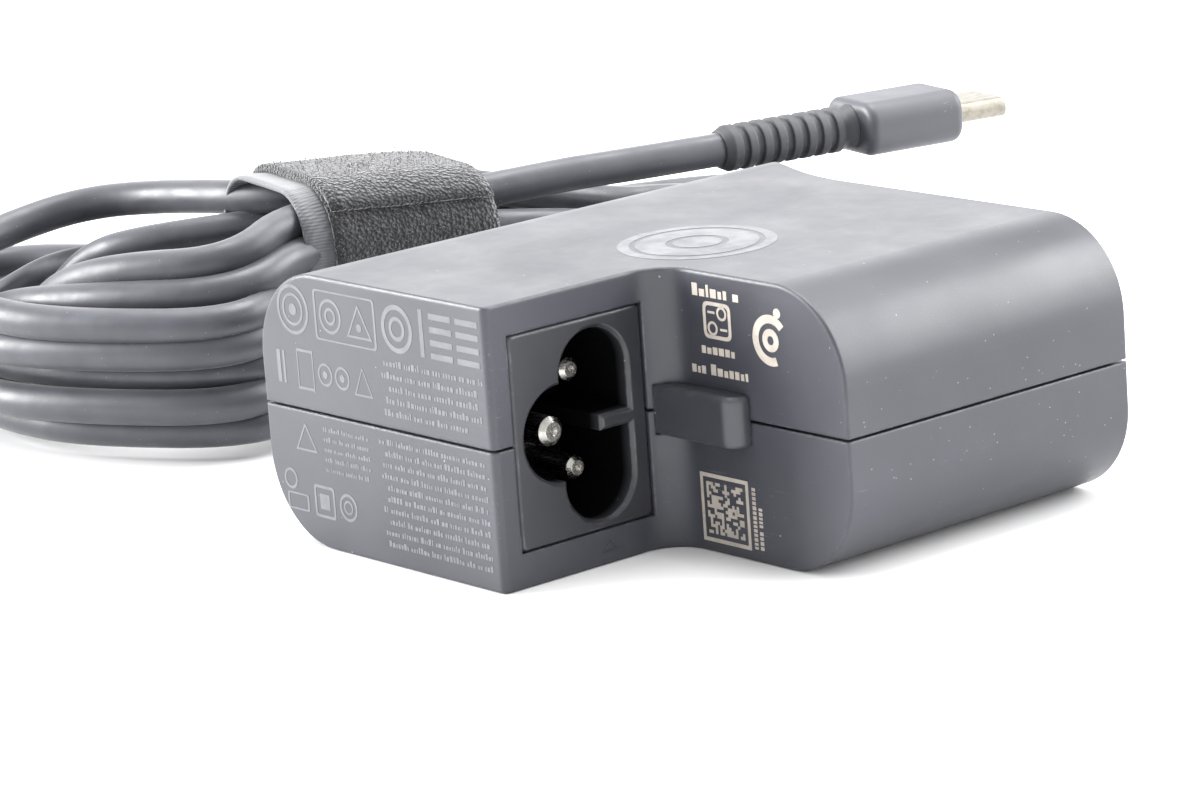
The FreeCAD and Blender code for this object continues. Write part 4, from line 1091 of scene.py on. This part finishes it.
@dataclass
class InkPlate:
    """Flat printed shapes on one face of the case, each a thin closed plate."""

    name: str
    origin: Vector
    across: Vector
    up: Vector
    sunk: float = 0.02
    proud: float = 0.025
    work: bmesh.types.BMesh = field(default_factory=bmesh.new)

    @property
    def out(self) -> Vector:
        """The face's outward direction."""
        return self.across.cross(self.up)

    def at(self, u: float, v: float, lift: float) -> Vector:
        """A point over the face, from millimetres."""
        return self.origin + (self.across * u + self.up * v + self.out * lift) * MM

    def strip(self, inner: Sequence[Flat], outer: Sequence[Flat], closed: bool = True) -> None:
        """A band between two matching lines, as a closed plate.

        Args:
            inner: points of one line.
            outer: points of the other line.
            closed: whether the band joins its own start.
        """
        rows = [[self.work.verts.new(self.at(u, v, lift)) for u, v in line]
                for line, lift in ((inner, -self.sunk), (outer, -self.sunk),
                                   (outer, self.proud), (inner, self.proud))]
        count = len(inner)
        for row, after in zip(rows, rows[1:] + rows[:1]):
            for k in range(count if closed else count - 1):
                j = (k + 1) % count
                self.work.faces.new((row[k], row[j], after[j], after[k]))
        if not closed:
            for k in (0, -1):
                self.work.faces.new([row[k] for row in rows])

    def patch(self, outline: Sequence[Flat]) -> None:
        """A filled shape without holes, as a closed plate."""
        low = [self.work.verts.new(self.at(u, v, -self.sunk)) for u, v in outline]
        high = [self.work.verts.new(self.at(u, v, self.proud)) for u, v in outline]
        self.work.faces.new(low)
        self.work.faces.new(high)
        for k in range(len(outline)):
            j = (k + 1) % len(outline)
            self.work.faces.new((low[k], low[j], high[j], high[k]))

    def bar(self, u: float, v: float, wide: float, tall: float) -> None:
        """A filled rectangle from its lower left corner."""
        self.patch([(u, v), (u + wide, v), (u + wide, v + tall), (u, v + tall)])

    def arc(self, u: float, v: float, radius: float, line: float,
            start: float = 0.0, sweep: float = 360.0) -> None:
        """A ring or part of one, with a given line width."""
        whole = sweep >= 360.0
        steps = max(10, round(sweep / 9))
        angles = [math.radians(start + sweep * k / steps) for k in range(steps + (0 if whole else 1))]
        lines = [[(u + r * math.cos(a), v + r * math.sin(a)) for a in angles]
                 for r in (radius - line, radius)]
        self.strip(lines[0], lines[1], whole)

    def disc(self, u: float, v: float, radius: float) -> None:
        """A filled disc."""
        self.patch([(u + radius * math.cos(math.tau * k / 40), v + radius * math.sin(math.tau * k / 40))
                    for k in range(40)])

    def outline(self, corners: Sequence[Flat], line: float, soft: float = 0.0) -> None:
        """A closed outline of straight sides, its corners rounded where soft is given."""
        middle = Vector((sum(c[0] for c in corners), sum(c[1] for c in corners))) / len(corners)
        outer: List[Flat] = []
        count = len(corners)
        for k, corner in enumerate(corners):
            here = Vector(corner)
            if soft <= 0.0:
                outer.append(tuple(here))
                continue
            before = (Vector(corners[k - 1]) - here).normalized() * soft
            after = (Vector(corners[(k + 1) % count]) - here).normalized() * soft
            for share in (0.0, 0.25, 0.5, 0.75, 1.0):
                bent = here + before * (1 - share) ** 2 + after * share ** 2
                outer.append(tuple(bent))
        inner = []
        for point in outer:
            away = Vector(point) - middle
            inner.append(tuple(middle + away * (1 - line * 1.25 / max(away.length, line * 2))))
        self.strip(inner, outer)

    def line_of_blocks(self, u: float, v: float, wide: float, tall: float,
                       dice: random.Random) -> None:
        """A line of small plain blocks in runs, as fine print looks from a distance.

        Args:
            u: where the line starts.
            v: the line's foot.
            wide: the line's length.
            tall: the blocks' height.
            dice: the random numbers that set the runs.
        """
        at = u
        while at < u + wide - tall * 0.6:
            for _ in range(dice.randint(2, 7)):
                block = tall * dice.uniform(0.28, 0.7)
                if at + block > u + wide:
                    break
                high = tall * dice.choice((0.6, 0.72, 0.72, 1.0))
                self.bar(at, v, block, high)
                at += block + tall * 0.2
            at += tall * 0.5

    def build(self, finish: Finish) -> bpy.types.Object:
        """Close the plate and dress it.

        Args:
            finish: the ink.

        Returns:
            The printed piece.
        """
        piece = mesh_piece(self.name, self.work)
        finish.dress(piece)
        return piece


@dataclass
class CaseMarks:
    """Everything printed on the case: generic rings, bars, boxes and dots."""

    low: Vector
    high: Vector
    inlet_x: float
    notch_y: float
    seed: int = 5

    def end_label(self) -> bpy.types.Object:
        """The grey print on the label end: a row of emblems over lines of fine print."""
        dice = random.Random(self.seed)
        plate = InkPlate("end_label_print", Vector((self.low.x, self.low.y, 0.0)),
                         Vector((1, 0, 0)), Vector((0, 0, 1)))
        # the row of emblems
        plate.arc(6.0, 24.6, 2.6, 0.36)
        plate.arc(6.0, 24.6, 1.7, 0.30)
        plate.disc(6.0, 24.6, 0.6)
        plate.outline([(9.6, 22.0), (19.6, 22.0), (19.6, 27.2), (9.6, 27.2)], 0.28, 0.5)
        plate.arc(12.2, 24.6, 1.8, 0.32)
        plate.arc(12.2, 24.6, 0.9, 0.3)
        plate.outline([(14.8, 22.9), (18.9, 22.9), (16.85, 26.4)], 0.36)
        plate.disc(16.85, 24.0, 0.42)
        plate.arc(23.0, 24.7, 2.45, 0.52)
        plate.arc(23.0, 24.7, 1.25, 0.42)
        plate.bar(26.6, 22.4, 0.6, 4.8)
        for k in range(4):
            plate.bar(28.2, 22.4 + k * 1.32, 3.4, 0.6)
            plate.bar(32.3, 22.4 + k * 1.32, 3.4, 0.6)
        # second row: small boxes and rings over the seam
        plate.bar(2.6, 16.7, 0.6, 3.4)
        plate.bar(3.6, 16.7, 0.35, 3.4)
        plate.outline([(6.0, 16.4), (8.7, 16.4), (8.7, 20.6), (6.0, 20.6)], 0.26)
        for u in (10.6, 13.4):
            plate.arc(u, 18.4, 1.2, 0.26)
            plate.disc(u, 18.4, 0.4)
        plate.outline([(15.3, 17.0), (18.3, 17.0), (16.8, 20.0)], 0.26)
        for row, (u, wide) in enumerate(((20.4, 15.6), (20.0, 15.2), (21.0, 14.6), (20.4, 15.4),
                                         (20.0, 13.8))):
            plate.line_of_blocks(u, 20.7 - row * 1.27, wide, 0.68, dice)
        # below the seam
        plate.outline([(4.6, 9.9), (8.2, 9.9), (6.4, 12.9)], 0.34)
        plate.arc(3.2, 6.6, 1.1, 0.28)
        plate.outline([(2.4, 3.4), (6.0, 3.4), (6.0, 5.2), (2.4, 5.2)], 0.26, 0.3)
        plate.outline([(7.0, 3.2), (10.4, 3.2), (10.4, 6.6), (7.0, 6.6)], 0.3, 0.4)
        plate.bar(7.9, 4.1, 1.6, 1.6)
        plate.arc(12.6, 4.9, 1.45, 0.3)
        plate.arc(12.6, 4.9, 0.75, 0.22)
        for row in range(5):
            plate.line_of_blocks(9.4, 12.4 - row * 1.05, 7.6, 0.5, dice)
        for row in range(10):
            indent = dice.uniform(0.0, 1.2)
            plate.line_of_blocks(18.4 + indent, 12.5 - row * 1.17, 17.0 - indent, 0.62, dice)
        return plate.build(GREY_INK)

    def notch_print(self) -> bpy.types.Object:
        """The pale print on the notch's wall: fine lines, a boxed emblem and a ringed one."""
        dice = random.Random(self.seed + 1)
        plate = InkPlate("notch_print", Vector((self.low.x, self.notch_y, 0.0)),
                         Vector((1, 0, 0)), Vector((0, 0, 1)))
        plate.line_of_blocks(41.5, 26.0, 6.9, 1.25, dice)
        plate.outline([(42.9, 21.9), (46.9, 21.9), (46.9, 25.6), (42.9, 25.6)], 0.36, 0.75)
        for ring_u, bar_u, v in ((44.2, 45.3, 22.95), (45.6, 43.6, 24.55)):
            plate.arc(ring_u, v, 0.72, 0.26)
            plate.bar(bar_u, v - 0.12, 1.0, 0.24)
        plate.line_of_blocks(42.4, 20.3, 5.2, 1.05, dice)
        plate.line_of_blocks(40.8, 18.2, 8.2, 1.1, dice)
        plate.arc(52.5, 22.8, 2.55, 0.85, 40, 250)
        plate.arc(52.5, 22.8, 1.15, 0.7)
        plate.disc(53.6, 25.6, 0.5)
        return plate.build(PALE_INK)

    def dot_code(self) -> bpy.types.Object:
        """The square of scattered dots by the notch's foot, and the fine lines beside it."""
        dice = random.Random(self.seed + 2)
        plate = InkPlate("dot_code_print", Vector((self.low.x, self.notch_y, 0.0)),
                         Vector((1, 0, 0)), Vector((0, 0, 1)))
        count = 16
        left, foot, side, frame_line = 40.85, 1.05, 7.0, 0.45
        plate.outline([(left, foot), (left + side, foot), (left + side, foot + side),
                       (left, foot + side)], frame_line)
        inset = frame_line * 1.9
        pitch = (side - 2 * inset) / count
        for row in range(count):
            for column in range(count):
                if dice.random() < 0.47:
                    plate.bar(left + inset + column * pitch, foot + inset + row * pitch, pitch * 0.97,
                              pitch * 0.97)
        for column, tall in enumerate((6.3, 4.2)):
            at = 1.3
            while at < 1.3 + tall:
                step = dice.uniform(0.24, 0.4)
                plate.bar(48.35 + column * 0.85, at, 0.5, step)
                at += step + 0.14 + (0.3 if dice.random() < 0.2 else 0.0)
        return plate.build(PALE_INK)

    def lid_badge(self) -> bpy.types.Object:
        """The plain silver disc on the lid, with two fine rings left open in it."""
        plate = InkPlate("lid_badge", Vector((self.low.x, self.low.y, self.high.z)),
                         Vector((1, 0, 0)), Vector((0, 1, 0)))
        plate.arc(32.4, 31.4, 8.1, 1.2)
        plate.arc(32.4, 31.4, 6.3, 3.1)
        plate.disc(32.4, 31.4, 2.5)
        return plate.build(SILVER_INK)

    def moulding_mark(self) -> bpy.types.Object:
        """A small raised triangle near the foot of the inlet wall."""
        plate = InkPlate("moulding_mark", Vector((self.inlet_x, self.low.y, 0.0)),
                         Vector((0, 1, 0)), Vector((0, 0, 1)), proud=0.06)
        plate.outline([(12.6, 1.3), (14.6, 1.3), (13.6, 2.4)], 0.14)
        return plate.build(CASE)

    def build(self) -> List[bpy.types.Object]:
        """Print the case."""
        return [self.end_label(), self.notch_print(), self.dot_code(), self.lid_badge(),
                self.moulding_mark()]


# ------------------------------------------------------------------------------ the CAD nodes

@dataclass
class Hardware:
    """The nodes that keep their own shape and take a finish here."""

    nodes: Dict[str, bpy.types.Object]
    finishes: Dict[str, Finish] = field(default_factory=lambda: {
        "upper_shell": CASE, "lower_shell": CASE, "ac_inlet_housing": INLET, "latch_rail": RAIL,
        "line_pin": PIN, "neutral_pin": PIN, "earth_pin": PIN,
        "cord_strain_relief": SLEEVE, "usb_plug_strain_relief": SLEEVE,
        "usb_plug_overmold": GRIP, "usb_plug_shell": PLUG_TIP,
        "usb_plug_contact_block": CARRIER, "usb_plug_contacts": CONTACT,
        "main_circuit_board": BOARD, "output_control_board": BOARD,
        "insulation_sheet": FILM, "heat_spreader_lower": ALUMINIUM,
        "heat_spreader_upper": ALUMINIUM, "primary_heat_sink": ALUMINIUM,
        "thermal_pad": PAD, "transformer_core_lower": FERRITE, "transformer_core_upper": FERRITE,
        "choke_core": FERRITE, "transformer_winding": COPPER, "choke_windings": CHOKE_COPPER,
        "surge_varistor": DISC, "y_capacitor": DISC, "x_capacitor": FILM_BOX,
        "bulk_capacitor_front": SLEEVED_CAN, "bulk_capacitor_back": SLEEVED_CAN,
        "output_capacitor_front": SLEEVED_CAN, "output_capacitor_back": SLEEVED_CAN,
        "line_wire": WIRE_RED, "neutral_wire": WIRE_BLUE, "earth_wire": WIRE_GREEN,
        "output_positive_wire": WIRE_RED, "output_return_wire": WIRE_BLUE})

    def build(self) -> None:
        """Dress every node; a node that isn't named above is a moulded component body."""
        for name, node in self.nodes.items():
            self.finishes.get(name, COMPONENT).dress(node)
            LOG.info("dressed %s", name)


# ------------------------------------------------------------------------------ assembly

def main() -> None:
    """Build the adapter's looks round its frame."""
    nodes = frame["nodes"]
    studio = Studio()
    studio.place_camera()
    cord = OutputCord()
    curve = cord.build()
    strap = CableStrap(cord).build()
    cord.declare()
    for piece in [curve, *strap]:
        LOG.info("built %s", piece.name)
    Hardware(nodes).build()
    low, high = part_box("lower_shell")[0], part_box("upper_shell")[1]
    inlet_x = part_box("ac_inlet_housing")[1].x
    notch_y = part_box("latch_rail")[0].y + RAIL_PROUD
    for piece in CaseMarks(low, high, inlet_x, notch_y).build():
        LOG.info("printed %s", piece.name)
    studio.lay_floor()
    studio.light()
    bpy.context.view_layer.update()


if __name__ == "__main__":
    logging.basicConfig(level=logging.INFO)
    main()
